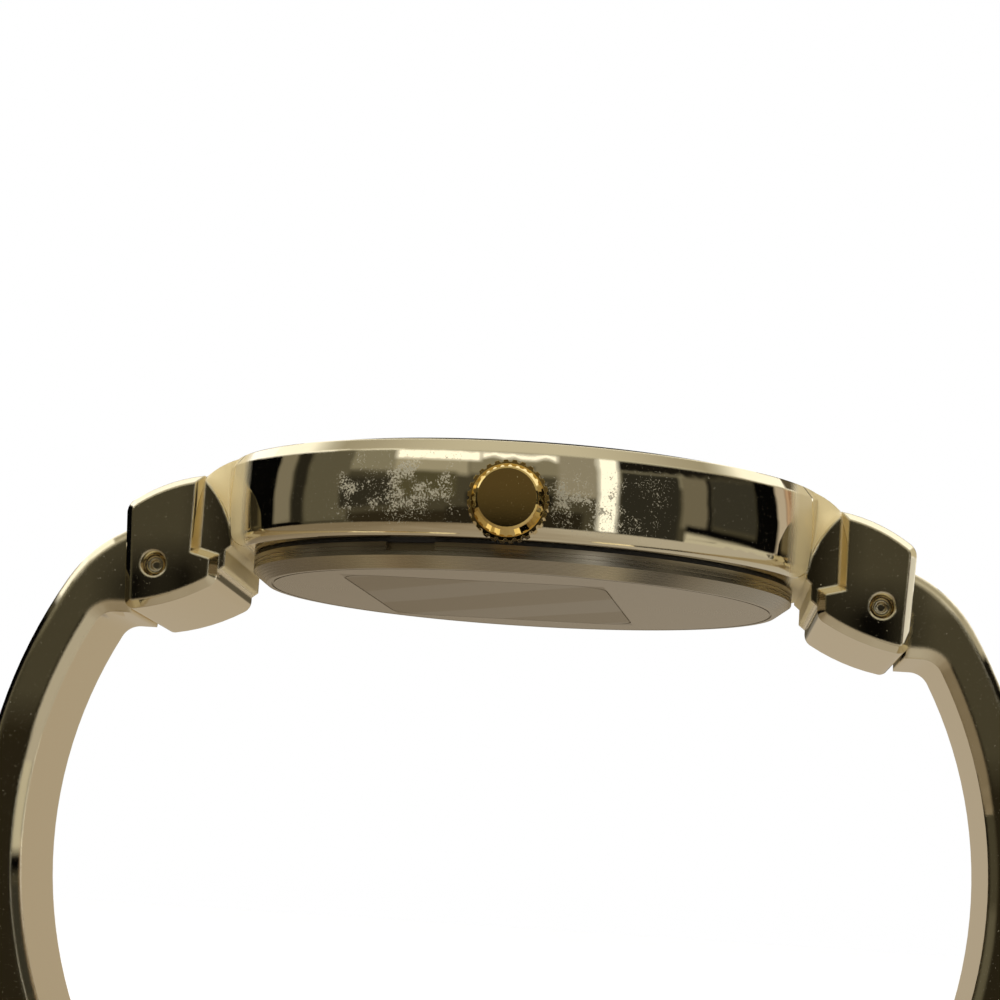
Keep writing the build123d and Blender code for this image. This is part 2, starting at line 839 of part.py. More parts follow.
def minute_wheel():
    top = minute_wheel_bottom + wheel_thickness
    wheel = toothed_disc(cannon_module, minute_wheel_teeth, minute_wheel_phase,
                         minute_wheel_bottom, top, minute_wheel_centre)
    pinion = toothed_disc(hour_module, minute_pinion_teeth, minute_pinion_phase,
                          top, minute_pinion_top, minute_wheel_centre)
    bore = disc(stud_radius + pivot_fit, minute_wheel_bottom - overrun, minute_pinion_top + overrun,
                minute_wheel_centre)
    return wheel + pinion - bore


def hour_wheel():
    top = hour_wheel_bottom + wheel_thickness
    wheel = toothed_disc(hour_module, hour_wheel_teeth, 0, hour_wheel_bottom, top)
    pipe = disc(hour_pipe_radius, hour_wheel_bottom, hour_hand_bottom + hand_thickness)
    cannon_room = module_tip(cannon_module, cannon_teeth) + pivot_fit
    wheel = wheel + pipe - disc(hour_pipe_bore, hour_wheel_bottom - overrun, hour_hand_bottom + overrun)
    return wheel - disc(cannon_room, hour_wheel_bottom - overrun, cannon_pinion_top + pivot_fit)


def module_tip(module, teeth):
    return module * (teeth / 2 + tooth_tip_share)


def setting_wheel():
    top = minute_wheel_bottom + wheel_thickness
    wheel = toothed_disc(cannon_module, setting_wheel_teeth, setting_phase,
                         minute_wheel_bottom, top, setting_centre)
    bore = stud_radius + pivot_fit
    return wheel - disc(bore, minute_wheel_bottom - overrun, top + overrun, setting_centre)


# Dial, markers and hands
def dial():
    low = dial_top - dial_thickness
    plate = ring(dial_radius, dial_hole_radius, low, dial_top)
    for place in dial_foot_places:
        plate += disc(dial_foot_radius, low - dial_foot_length, low, place)
    return plate


def dial_ring():
    outer = case_bore_radius - dial_ring_clearance
    return turned([
        (outer - dial_ring_bottom_width, dial_top),
        (outer, dial_top),
        (outer, dial_lip_bottom),
        (outer - dial_ring_top_width, dial_lip_bottom),
    ])


def hour_markers():
    markers = []
    half = marker_width / 2
    for hour in range(marker_count):
        offsets = (-marker_pair_spacing / 2, marker_pair_spacing / 2) if hour == 0 else (0,)
        for offset in offsets:
            baton = bar(marker_outer_radius - marker_length, marker_outer_radius,
                        offset - half, offset + half, dial_top, dial_top + marker_height)
            baton = chamfer(baton.faces().sort_by(Axis.Z)[-1].edges(), marker_chamfer)
            markers.append(Rot(0, 0, -360 * hour / marker_count) * baton)
    return Compound(children=markers)


def hand(length, tail, width, bottom, bore, hub_radius):
    half = width / 2
    tip = hand_tip_width / 2
    taper_start = length * hand_taper_start_share
    blade = extrude(make_face(Polyline([
        (-tail, -tip), (0, -half), (taper_start, -half), (length, -tip),
        (length, tip), (taper_start, half), (0, half), (-tail, tip),
    ], close=True)), amount=hand_thickness)
    hub = Cylinder(hub_radius, hand_thickness, align=ON_BASE)
    return Pos(0, 0, bottom) * (blade + hub - Cylinder(bore, 2 * overrun))


def hour_hand():
    body = hand(hour_hand_length, hour_pipe_radius, hour_hand_width, hour_hand_bottom,
                hour_pipe_radius, hour_pipe_radius + hand_hub_margin)
    return Rot(0, 0, -hour_hand_angle) * body


def minute_hand():
    body = hand(minute_hand_length, cannon_pipe_radius, minute_hand_width, minute_hand_bottom,
                cannon_pipe_radius, cannon_pipe_radius + hand_hub_margin)
    return Rot(0, 0, -minute_hand_angle) * body


def seconds_hand():
    body = hand(seconds_hand_length, seconds_hand_tail, seconds_hand_width, seconds_hand_bottom,
                seconds_arbor_radius, seconds_arbor_radius + hand_hub_margin)
    return Rot(0, 0, -seconds_hand_angle) * body


def dial_washer():
    top = dial_top - dial_thickness
    return ring(dial_washer_radius, hour_pipe_radius + pivot_fit, top - dial_washer_thickness, top)


# Movement plates
def main_plate():
    plate = disc(movement_radius, plate_bottom, plate_top)
    for place in bridge_posts:
        plate += disc(post_radius, bridge_top, plate_bottom, place)
    board_top = bridge_top + board_thickness
    for place in board_posts:
        plate += disc(board_post_radius, board_top, plate_bottom, place)
    clamp_post = (clamp_post_x, clamp_post_y)
    plate += disc(post_radius, battery_bottom, plate_bottom, clamp_post)
    for end in (1, -1):
        plate += disc(post_radius, stator_top, plate_bottom, (coil_x, end * coil_end_y))
    plate -= disc(centre_plate_hole, plate_bottom - overrun, plate_top + overrun)
    hour_tip = module_tip(hour_module, hour_wheel_teeth) + recess_margin
    minute_tip = module_tip(cannon_module, minute_wheel_teeth) + recess_margin
    setting_tip = module_tip(cannon_module, setting_wheel_teeth) + recess_margin
    plate -= disc(hour_tip, motion_recess_floor, plate_top + overrun)
    plate -= disc(minute_tip, motion_recess_floor, plate_top + overrun, minute_wheel_centre)
    plate -= disc(setting_tip, motion_recess_floor, plate_top + overrun, setting_centre)
    plate += disc(stud_radius, motion_recess_floor, minute_pinion_top, minute_wheel_centre)
    plate += disc(stud_radius, motion_recess_floor, minute_wheel_bottom + wheel_thickness, setting_centre)
    for place in (third_centre, fifth_centre, rotor_centre):
        plate -= disc(arbor_radius + pivot_fit, plate_bottom - overrun, pivot_end_top + pivot_fit, place)
    plate -= rod_y(stem_radius + pivot_fit, -movement_radius - overrun, -stem_inner_end + pivot_fit,
                   0, stem_height)
    pocket_end = clutch_outer_end + crown_pull + clutch_pocket_margin
    pocket_start = clutch_outer_end - clutch_length - clutch_pocket_margin
    plate -= rod_y(clutch_radius + clutch_pocket_margin, -pocket_end, -pocket_start, 0, stem_height)
    slot_half = lever_pin_radius + recess_margin
    slot_end = stem_groove_place + crown_pull + slot_half
    plate -= bar(-slot_half, 2 * slot_half, -slot_end, -stem_groove_place + slot_half,
                 plate_bottom - overrun, stem_height)
    plate -= disc(battery_radius + battery_clearance, plate_bottom - overrun,
                  battery_bottom + battery_thickness + battery_contact_thickness, (battery_x, battery_y))
    coil_room = coil_radius + coil_pocket_margin
    plate -= bar(coil_x - coil_room, coil_x + coil_room,
                 -coil_half_length - coil_pocket_margin, coil_half_length + coil_pocket_margin,
                 plate_bottom - overrun, core_middle() + coil_room)
    foot_hole_radius = dial_foot_radius + dial_foot_clearance
    for place in dial_foot_places:
        plate -= disc(foot_hole_radius, plate_bottom - overrun, plate_top + overrun, place)
    plate -= quartz_body(quartz_radius + battery_clearance, quartz_length + 2 * battery_clearance)
    for place in bridge_posts:
        plate -= screw_hole(place, bridge_top)
    for place in board_posts:
        plate -= screw_hole(place, board_top)
    plate -= screw_hole(clamp_post, battery_bottom)
    for end in (1, -1):
        plate -= screw_hole((coil_x, end * coil_end_y), stator_bottom - core_thickness)
    return plate + lever_stud()


def screw_hole(place, bottom):
    return disc(screw_radius, bottom - overrun, bottom + screw_length, place)


def core_middle():
    return stator_bottom - core_thickness / 2


def screw(place, seat):
    head = disc(screw_head_radius, seat - screw_head_height, seat, place)
    shank = disc(screw_radius, seat, seat + screw_length - recess_margin, place)
    slot_length = 2 * (screw_head_radius + overrun)
    slot = Box(slot_length, screw_slot_width, 2 * screw_slot_depth)
    slot = Pos(place[0], place[1], seat - screw_head_height) * slot
    return head + shank - slot


def train_bridge():
    low = bridge_top - bridge_thickness
    rim = (rotor_centre, bridge_posts[2], bridge_posts[1], third_centre, bridge_posts[0])
    outline = offset(make_face(Polyline([(x, y) for x, y in rim], close=True)), amount=bridge_margin)
    bridge = Pos(0, 0, low) * extrude(outline, amount=bridge_thickness)
    for place in (third_centre, fifth_centre, rotor_centre):
        bridge -= disc(arbor_radius + pivot_fit, low - overrun, bridge_top + overrun, place)
    bridge -= disc(seconds_arbor_radius + pivot_fit, low - overrun, bridge_top + overrun)
    for place in bridge_posts:
        bridge -= disc(screw_radius, low - overrun, bridge_top + overrun, place)
    return bridge


def bridge_screws():
    return Compound(children=[screw(place, bridge_top - bridge_thickness) for place in bridge_posts])


def movement_holder():
    inner = movement_radius + holder_fit
    flange_low = plate_top - holder_flange_thickness
    holder = ring(holder_radius, inner, holder_bottom, plate_top)
    holder += ring(holder_flange_radius, inner, flange_low, plate_top)
    holder -= bar(-holder_slot_half_width, holder_slot_half_width, -holder_flange_radius - overrun,
                  -inner + overrun, holder_bottom - overrun, stem_height + stem_radius + recess_margin)
    middle = (holder_radius + inner) / 2
    for window in range(holder_window_count):
        angle = 180 * (2 * window + 1) / holder_window_count
        place = at_angle(angle, middle)
        holder -= disc(holder_window_radius, holder_bottom - overrun, flange_low, place)
    return holder


# Stepping motor
def stator():
    ring_part = disc(stator_ring_radius, stator_bottom, stator_top, rotor_centre)
    half = stator_leg_width / 2
    for end in (1, -1):
        corners = [rotor_centre, (rotor_centre[0], end * coil_end_y), (coil_x, end * coil_end_y)]
        for start, stop in zip(corners[:-1], corners[1:]):
            x_low, x_high = sorted((start[0], stop[0]))
            y_low, y_high = sorted((start[1], stop[1]))
            ring_part += bar(x_low - half, x_high + half, y_low - half, y_high + half,
                             stator_bottom, stator_top)
        ring_part -= disc(screw_radius, stator_bottom - overrun, stator_top + overrun,
                          (coil_x, end * coil_end_y))
    return ring_part - disc(stator_bore, stator_bottom - overrun, stator_top + overrun, rotor_centre)


def coil_core():
    low = stator_bottom - core_thickness
    half = core_width / 2
    core = bar(coil_x - half, coil_x + half, -coil_end_y, coil_end_y, low, stator_bottom)
    for end in (1, -1):
        place = (coil_x, end * coil_end_y)
        core += disc(core_pad_radius, low, stator_bottom, place)
        core -= disc(screw_radius, low - overrun, stator_bottom + overrun, place)
    return core


def coil_winding():
    half = core_width / 2
    winding = rod_y(coil_radius, -coil_half_length + coil_bobbin_wall, coil_half_length - coil_bobbin_wall,
                    coil_x, core_middle())
    low = stator_bottom - core_thickness
    return winding - bar(coil_x - half, coil_x + half, -coil_end_y, coil_end_y, low, stator_bottom)


def coil_screws():
    seat = stator_bottom - core_thickness
    return Compound(children=[screw((coil_x, end * coil_end_y), seat) for end in (1, -1)])


# Battery, circuit board and quartz
def battery():
    place = (battery_x, battery_y)
    cell = disc(battery_radius, battery_bottom, battery_bottom + battery_thickness - battery_step, place)
    cap = disc(battery_radius - battery_rim, battery_bottom, battery_bottom + battery_thickness, place)
    return cell + cap


def battery_contact():
    low = battery_bottom + battery_thickness
    return disc(battery_contact_radius, low, low + battery_contact_thickness, (battery_x, battery_y))


def battery_clamp():
    low = battery_bottom - clamp_thickness
    path = Line((battery_x, battery_y), (clamp_post_x, clamp_post_y))
    length = path.length
    angle = degrees(atan2(clamp_post_y - battery_y, clamp_post_x - battery_x))
    strap = Pos(length / 2, 0, 0) * Box(length + clamp_width, clamp_width, clamp_thickness, align=ON_BASE)
    strap = fillet(strap.edges().filter_by(Axis.Z), clamp_width * clamp_corner_share)
    strap = Pos(battery_x, battery_y, low) * Rot(0, 0, angle) * strap
    return strap - disc(screw_radius, low - overrun, battery_bottom + overrun, (clamp_post_x, clamp_post_y))


def clamp_screw():
    place = (clamp_post_x, clamp_post_y)
    head = disc(screw_head_radius, battery_bottom - clamp_thickness - screw_slot_depth,
                battery_bottom - clamp_thickness, place)
    return head + disc(screw_radius, battery_bottom - clamp_thickness,
                       battery_bottom + screw_length - recess_margin, place)


def circuit_board():
    sweep_angle = board_end_angle - board_start_angle
    board = Cylinder(board_outer_radius, board_thickness, arc_size=sweep_angle,
                     align=(Align.NONE, Align.NONE, Align.MIN))
    board = Pos(0, 0, bridge_top) * Rot(0, 0, board_start_angle) * board
    board -= disc(board_inner_radius, bridge_top - overrun, bridge_top + overrun)
    board -= disc(post_radius + pivot_fit, bridge_top - overrun, bridge_top + overrun, bridge_posts[2])
    for place in board_posts:
        board -= disc(screw_radius, bridge_top - overrun, bridge_top + overrun, place)
    return board


def circuit_screws():
    return Compound(children=[screw(place, bridge_top) for place in board_posts])


def timing_chip():
    low = bridge_top + board_thickness
    half = chip_side / 2
    return bar(chip_x - half, chip_x + half, chip_y - half, chip_y + half, low, low + chip_height)


def quartz_body(radius, length):
    middle = bridge_top + board_thickness + quartz_radius
    place = at_angle(quartz_angle, quartz_distance)
    lying = Rot(0, 0, quartz_angle) * Rot(90, 0, 0) * Cylinder(radius, length)
    return Pos(place[0], place[1], middle) * lying


def quartz_can():
    return quartz_body(quartz_radius, quartz_length)


# Setting works
def setting_lever():
    pivot = (lever_pivot_x, -stem_groove_place)
    lever = disc(lever_hub_radius, lever_bottom, lever_top, pivot)
    half = lever_width / 2
    lever += bar(-half, lever_pivot_x, -stem_groove_place - half, -stem_groove_place + half,
                 lever_bottom, lever_top)
    pin_top = stem_height - stem_groove_radius - pivot_fit
    lever += disc(lever_pin_radius, lever_top, pin_top, (0, -stem_groove_place))
    return lever - disc(stud_radius + pivot_fit, lever_bottom - overrun, lever_top + overrun, pivot)


def lever_stud():
    pivot = (lever_pivot_x, -stem_groove_place)
    return disc(stud_radius, lever_bottom, plate_bottom, pivot)


# Bangle arms and hinges
def arm_profile():
    bend_centre = (arm_bend_centre_x, arm_bend_centre_z)
    centre = arm_arc_centre()
    inner = arm_arc_radius
    outer = arm_arc_radius + arm_thickness
    bend_outer = arm_bend_radius + arm_thickness
    tip_inner = -degrees(acos((arm_gap_half_width - centre[0]) / inner))
    tip_outer = -degrees(acos((arm_gap_half_width - centre[0]) / outer))
    shoulder = shoulder_corner(bend_centre, bend_outer)
    shoulder_turn = degrees(atan2(shoulder[1] - bend_centre[1], shoulder[0] - bend_centre[0]))
    knuckle_top = at_angle(shoulder_face_angle, knuckle_radius, (pin_x, pin_z))
    lean = (block_top_outer_x - block_bottom_outer_x) / (block_top_outer_z - block_bottom_outer_z)
    heel_foot_x = block_bottom_outer_x + (heel_z - block_bottom_outer_z) * lean + hinge_clearance
    heel_top_x = block_bottom_outer_x + (pin_z - block_bottom_outer_z) * lean + hinge_clearance
    heel_meets = heel_corner()
    heel_turn = degrees(atan2(heel_meets[1] - centre[1], heel_meets[0] - centre[0]))
    outline = [
        arc_between(outer, centre, tip_outer, arm_bend_angle),
        arc_between(bend_outer, bend_centre, arm_bend_angle, shoulder_turn),
        *lines_through([
            shoulder, knuckle_top, (pin_x, pin_z), (heel_top_x, pin_z), (heel_foot_x, heel_z), heel_meets,
        ]),
        arc_between(inner, centre, heel_turn, tip_inner),
        *lines_through([at_angle(tip_inner, inner, centre), at_angle(tip_outer, outer, centre)]),
    ]
    return make_face(outline)


def arm_arc_centre():
    return at_angle(arm_bend_angle, arm_bend_radius - arm_arc_radius, (arm_bend_centre_x, arm_bend_centre_z))


def heel_corner():
    centre_x, centre_z = arm_arc_centre()
    rise = heel_z - centre_z
    return (centre_x + sqrt(arm_arc_radius**2 - rise**2), heel_z)


def arc_between(radius, centre, start, stop):
    places = [at_angle(angle, radius, centre) for angle in (start, (start + stop) / 2, stop)]
    return ThreePointArc(*[(x, 0, z) for x, z in places])


def lines_through(points):
    places = [(x, 0, z) for x, z in points]
    return [Line(start, stop) for start, stop in zip(places[:-1], places[1:])]


def shoulder_corner(bend_centre, bend_outer):
    direction = radians(shoulder_face_angle)
    offset_x = pin_x - bend_centre[0]
    offset_z = pin_z - bend_centre[1]
    along = offset_x * cos(direction) + offset_z * sin(direction)
    reach = -along + sqrt(along**2 + bend_outer**2 - offset_x**2 - offset_z**2)
    return at_angle(shoulder_face_angle, reach, (pin_x, pin_z))


def bangle_arm(side):
    body = extrude(arm_profile(), amount=arm_half_width, both=True)
    centre_x, centre_z = arm_arc_centre()
    outer_radius = arm_arc_radius + arm_thickness
    body = fillet([cross_edge(body, *heel_corner())], arm_heel_round)
    body = chamfer(side_arcs(body, outer_radius, arm_bend_radius + arm_thickness), arm_outer_chamfer)
    heel = [edge for edge in side_edges(body) if edge.geom_type == GeomType.LINE
            and abs(edge.center().Z - heel_z) < select_within]
    body = chamfer(side_arcs(body, arm_arc_radius, arm_heel_round) + heel, arm_inner_chamfer)
    reach = centre_x + outer_radius + overrun
    low = centre_z - outer_radius - overrun
    plan = RectangleRounded(2 * (reach - arm_gap_half_width), 2 * arm_half_width, arm_tip_corner)
    keep = Pos(reach, 0, low) * extrude(plan, amount=block_half_width - low)
    body = body & keep
    body += rod_y(knuckle_radius, -arm_half_width, arm_half_width, pin_x, pin_z)
    bore = pin_radius + knuckle_running_fit
    body -= rod_y(bore, -arm_half_width - overrun, arm_half_width + overrun, pin_x, pin_z)
    body -= spring_room()
    return mirrored(body, side)


def side_edges(body):
    return [edge for edge in body.edges() if abs(abs(edge.center().Y) - arm_half_width) < select_within]


def side_arcs(body, *radii):
    arcs = [edge for edge in side_edges(body) if edge.geom_type == GeomType.CIRCLE]
    return [edge for edge in arcs if min(abs(edge.radius - radius) for radius in radii) < select_within]


def spring_room():
    half = spring_half_length() + spring_gap
    room = rod_y(spring_coil_radius + spring_wire_radius + spring_gap, -half, half, pin_x, pin_z)
    room += bar(pin_x - knuckle_radius - overrun, pin_x, -half, half,
                pin_z - spring_coil_radius, pin_z + knuckle_radius)
    anchor = spring_leg(
        spring_anchor_angle, spring_anchor_reach + spring_gap, spring_wire_radius + spring_leg_fit, 1)
    return room + anchor


def spring_leg(angle, reach, radius, end):
    start = spring_coil_radius - spring_wire_radius / 2
    leg = Pos(start, 0, 0) * Rot(0, 90, 0) * Cylinder(radius, reach - start, align=ON_BASE)
    return Pos(pin_x, end * spring_coil_length() / 2, pin_z) * Rot(0, -angle, 0) * leg


def hinge_spring(side):
    pitch = 2 * spring_wire_radius + spring_gap
    path = Helix(pitch, spring_coil_length(), spring_coil_radius)
    start = Plane(origin=path @ 0, z_dir=path % 0)
    coil_start = spring_leg_angle + spring_lap_angle
    coil = sweep(start * Circle(spring_wire_radius), path=path)
    coil = Pos(pin_x, -spring_coil_length() / 2, pin_z) * Rot(0, -coil_start, 0) * Rot(-90, 0, 0) * coil
    coil += spring_leg(spring_leg_angle, spring_leg_reach, spring_wire_radius, -1)
    coil += spring_leg(spring_anchor_angle, spring_anchor_reach, spring_wire_radius, 1)
    return mirrored(coil, side)


def hinge_pin(side):
    half = block_half_width - pin_recess
    pin = rod_y(pin_radius, -half, half, pin_x, pin_z)
    for end in (1, -1):
        dimple = rod_y(pin_dimple_radius, end * half - pin_dimple_depth, end * half + pin_dimple_depth,
                       pin_x, pin_z)
        pin -= dimple
    return mirrored(pin, side)


# Everything, by the name of its node
NODES = {
    "case_body": case_body,
    "crystal": crystal,
    "crystal_gasket": crystal_gasket,
    "case_back": case_back,
    "case_back_gasket": case_back_gasket,
    "crown": crown,
    "crown_tube": crown_tube,
    "crown_gasket": crown_gasket,
    "winding_stem": winding_stem,
    "clutch_pinion": clutch_pinion,
    "dial": dial,
    "dial_ring": dial_ring,
    "hour_markers": hour_markers,
    "hour_hand": hour_hand,
    "minute_hand": minute_hand,
    "seconds_hand": seconds_hand,
    "dial_washer": dial_washer,
    "hour_wheel": hour_wheel,
    "cannon_pinion": cannon_pinion,
    "minute_wheel": minute_wheel,
    "setting_wheel": setting_wheel,
    "centre_wheel": centre_wheel,
    "third_wheel": third_wheel,
    "fourth_wheel": fourth_wheel,
    "fifth_wheel": fifth_wheel,
    "rotor_pinion": rotor_pinion,
    "rotor_magnet": rotor_magnet,
    "stator": stator,
    "coil_core": coil_core,
    "coil_winding": coil_winding,
    "coil_screws": coil_screws,
    "main_plate": main_plate,
    "train_bridge": train_bridge,
    "bridge_screws": bridge_screws,
    "movement_holder": movement_holder,
    "battery": battery,
    "battery_contact": battery_contact,
    "battery_clamp": battery_clamp,
    "clamp_screw": clamp_screw,
    "circuit_board": circuit_board,
    "circuit_screws": circuit_screws,
    "timing_chip": timing_chip,
    "quartz_can": quartz_can,
    "setting_lever": setting_lever,
}
for hour, side in SIDES.items():
    NODES[f"bangle_arm_{hour}"] = lambda side=side: bangle_arm(side)
    NODES[f"hinge_pin_{hour}"] = lambda side=side: hinge_pin(side)
    NODES[f"hinge_spring_{hour}"] = lambda side=side: hinge_spring(side)

os.makedirs("parts", exist_ok=True)
for name, make in NODES.items():
    shape = make()
    export_step(shape, f"parts/{name}.step")
    print(name, round(shape.volume, 3))
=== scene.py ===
# %% [markdown]
# # A bangle watch, dressed for its picture
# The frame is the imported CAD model: every piece is already in its place, in metres.
# Here it gets its metals, glass and dial, a camera, a pale studio floor and soft light.

# %% Load the frame
from math import cos, pi, radians, sin

import bmesh
import bpy
from mathutils import Matrix, Vector
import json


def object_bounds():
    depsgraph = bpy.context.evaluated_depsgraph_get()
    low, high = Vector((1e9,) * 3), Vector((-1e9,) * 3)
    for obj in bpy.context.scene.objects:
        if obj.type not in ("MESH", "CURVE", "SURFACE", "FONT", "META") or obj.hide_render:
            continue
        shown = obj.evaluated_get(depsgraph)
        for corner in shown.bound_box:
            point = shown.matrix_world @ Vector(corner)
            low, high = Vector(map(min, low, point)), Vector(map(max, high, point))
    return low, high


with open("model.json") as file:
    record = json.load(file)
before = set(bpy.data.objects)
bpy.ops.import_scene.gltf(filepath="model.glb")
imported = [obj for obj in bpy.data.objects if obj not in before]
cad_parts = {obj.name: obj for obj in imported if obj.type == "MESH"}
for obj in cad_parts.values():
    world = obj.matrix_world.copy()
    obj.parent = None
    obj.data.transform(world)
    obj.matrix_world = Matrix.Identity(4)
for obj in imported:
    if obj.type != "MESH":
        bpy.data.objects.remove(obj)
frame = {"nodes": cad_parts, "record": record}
cad_low, cad_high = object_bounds()
print("box in mm:", [round(1000 * v, 1) for v in (*cad_low, *cad_high)])

MM = 0.001


# %% [markdown]
# ## Camera
# The photograph was taken from the crown's side, a little below the case, with a long lens.
# A camera was fitted to the round case and the arms. Its place is written here in millimetres,
# and its turn and roll in radians.
# The lens is worked out from a focal length in pixels, on an image taken as 1000 by 1000.

# %% Camera
CAMERA_PLACE = Vector((9.3759, -174.9433, -18.2438)) * MM
CAMERA_AZIMUTH = 0.06320915
CAMERA_ELEVATION = -0.13839595
CAMERA_ROLL = 0.0654448
FOCAL_PIXELS = 2887.0
IMAGE_PIXELS = 1000
SENSOR_WIDTH = 36.0
NEAREST_SEEN = 0.005
FARTHEST_SEEN = 20


def photograph_camera():
    backward = Vector((
        sin(CAMERA_AZIMUTH) * cos(CAMERA_ELEVATION),
        -cos(CAMERA_AZIMUTH) * cos(CAMERA_ELEVATION),
        sin(CAMERA_ELEVATION),
    ))
    level_right = (-backward).cross(Vector((0, 0, 1))).normalized()
    level_down = (-backward).cross(level_right)
    right = level_right * cos(CAMERA_ROLL) - level_down * sin(CAMERA_ROLL)
    up = backward.cross(right)
    data = bpy.data.cameras.new("photograph_camera")
    data.sensor_width = SENSOR_WIDTH
    data.lens = FOCAL_PIXELS / IMAGE_PIXELS * SENSOR_WIDTH
    data.clip_start = NEAREST_SEEN
    data.clip_end = FARTHEST_SEEN
    camera = bpy.data.objects.new("photograph_camera", data)
    turn = Matrix((right, up, backward)).transposed().to_4x4()
    camera.matrix_world = Matrix.Translation(CAMERA_PLACE) @ turn
    bpy.context.scene.collection.objects.link(camera)
    return camera


camera = photograph_camera()
bpy.context.scene.camera = camera
print("lens in mm:", round(camera.data.lens, 2))


# %% [markdown]
# ## Colours and nodes
# Colours are written as sRGB hex values, as a paint chart gives them, and turned to linear light once.
# One small function adds a node to a material, with its settings, its links and, on a ramp, its stops.
# A socket is named by its label, or by its number as i0, i1 and so on where labels repeat.

# %% Colour and node helpers
# Nearly all values of a noise texture lie between these two
NOISE_RANGE = (0.3, 0.7)


def linear(hex_colour):
    values = [int(hex_colour[i:i + 2], 16) / 255 for i in (1, 3, 5)]
    return [v / 12.92 if v <= 0.04045 else ((v + 0.055) / 1.055) ** 2.4 for v in values] + [1.0]


def add(tree, kind, settings=None, stops=(), **sockets):
    node = tree.nodes.new(kind)
    for name, value in (settings or {}).items():
        setattr(node, name, value)
    for place, hex_colour in stops[2:]:
        node.color_ramp.elements.new(place)
    for element, (place, hex_colour) in zip(node.color_ramp.elements if stops else (), stops):
        element.position = place
        element.color = linear(hex_colour)
    for name, value in sockets.items():
        by_number = name[0] == "i" and name[1:].isdigit()
        socket = node.inputs[int(name[1:])] if by_number else node.inputs[name.replace("_", " ")]
        if isinstance(value, bpy.types.NodeSocket):
            tree.links.new(value, socket)
        else:
            socket.default_value = value
    return node


def new_material(name):
    material = bpy.data.materials.new(name)
    material.use_nodes = True
    tree = material.node_tree
    tree.nodes.clear()
    output = add(tree, "ShaderNodeOutputMaterial")
    place = add(tree, "ShaderNodeTexCoord").outputs["Object"]
    return material, tree, output.inputs[0], place


# %% [markdown]
# ## Places on a round object
# Some marks lie in a window: from one azimuth to another and from one height to another.
# Azimuth is counted from the crown. The same two functions serve the film on the case
# and the cards of the studio, and both get soft borders, as nothing real ends on a knife's edge.

# %% Azimuth and windows
def azimuth_of(tree, parts):
    """Angle about the watch's axis, 0 at the crown, from a node that has split the place."""
    facing = add(tree, "ShaderNodeMath", {"operation": "MULTIPLY"}, i0=parts.outputs["Y"], i1=-1.0)
    return add(tree, "ShaderNodeMath", {"operation": "ARCTAN2"}, i0=parts.outputs["X"], i1=facing.outputs[0])


def window(tree, *ranges):
    """1 inside all ranges (value, soft border, low, high) and 0 outside, with a slope across each border."""
    inside = None
    for value, edge, low, high in ranges:
        rise = add(tree, "ShaderNodeMapRange", Value=value, i1=low - edge, i2=low + edge)
        fall = add(tree, "ShaderNodeMapRange", Value=value, i1=high + edge, i2=high - edge)
        both = add(tree, "ShaderNodeMath", {"operation": "MINIMUM"}, i0=rise.outputs[0], i1=fall.outputs[0])
        inside = both if inside is None else add(
            tree, "ShaderNodeMath", {"operation": "MULTIPLY"}, i0=inside.outputs[0], i1=both.outputs[0])
    return inside


print("helpers:", azimuth_of.__name__, window.__name__)


# %% [markdown]
# ## Polished gold plating
# The case and arms are steel, buffed to a mirror and plated with a thin pale gold.
# Such a surface has little colour of its own: it shows the room, tinted cream.
# Three things break the mirror, and each is a step below: dried handling film beside the crown,
# corners that the buffing wheel can't reach, with a painted reflection, and the fine lines that the wheel
# leaves.
# Film from fingers and packing dries on the wall on both sides of the crown. It lies as pale specks
# in smears, and only there, so it is drawn inside two windows on the wall.

# %% Handling film
# Azimuth from the crown, in degrees, and height, in millimetres
FILM_PATCHES = ((-32.0, -9.0, 2.6, 5.9), (5.5, 27.0, 2.4, 5.4))
FILM_EDGE_ANGLE = 3.0
FILM_EDGE_HEIGHT = 0.8


def film_place(tree, place):
    """Where the film may lie: 1 inside the patches on the wall beside the crown, 0 elsewhere."""
    parts = add(tree, "ShaderNodeSeparateXYZ", Vector=place)
    azimuth = azimuth_of(tree, parts)
    total = None
    for start, stop, bottom, top in FILM_PATCHES:
        inside = window(
            tree,
            (azimuth.outputs[0], radians(FILM_EDGE_ANGLE), radians(start), radians(stop)),
            (parts.outputs["Z"], FILM_EDGE_HEIGHT * MM, bottom * MM, top * MM))
        total = inside if total is None else add(
            tree, "ShaderNodeMath", {"operation": "MAXIMUM"}, i0=total.outputs[0], i1=inside.outputs[0])
    return total.outputs[0]


print("film patches:", len(FILM_PATCHES))


# %% [markdown]
# ## Where the wheel can't reach, and a painted reflection
# The buffing wheel can't reach the corner where the band runs into a lug, so the plating stays
# satin there. Its cream colour is a painted reflection, standing in for the pale room that the corner
# mirrors. The lug's own flat flank is open to the wheel, so it is left out.

# %% Satin corners with a painted reflection
# In millimetres from the middle of the watch, along the bangle, and the flank across it
CORNER_START = 15.9
CORNER_END = 18.75
CORNER_FLANK = 7.3
# Below the foot's height the corner ends a step earlier
CORNER_FOOT = 1.25
CORNER_FOOT_STEP = 1.3
# How soft its borders are, towards the lug and towards the band
CORNER_EDGE = 0.12
CORNER_BLEND = 0.35


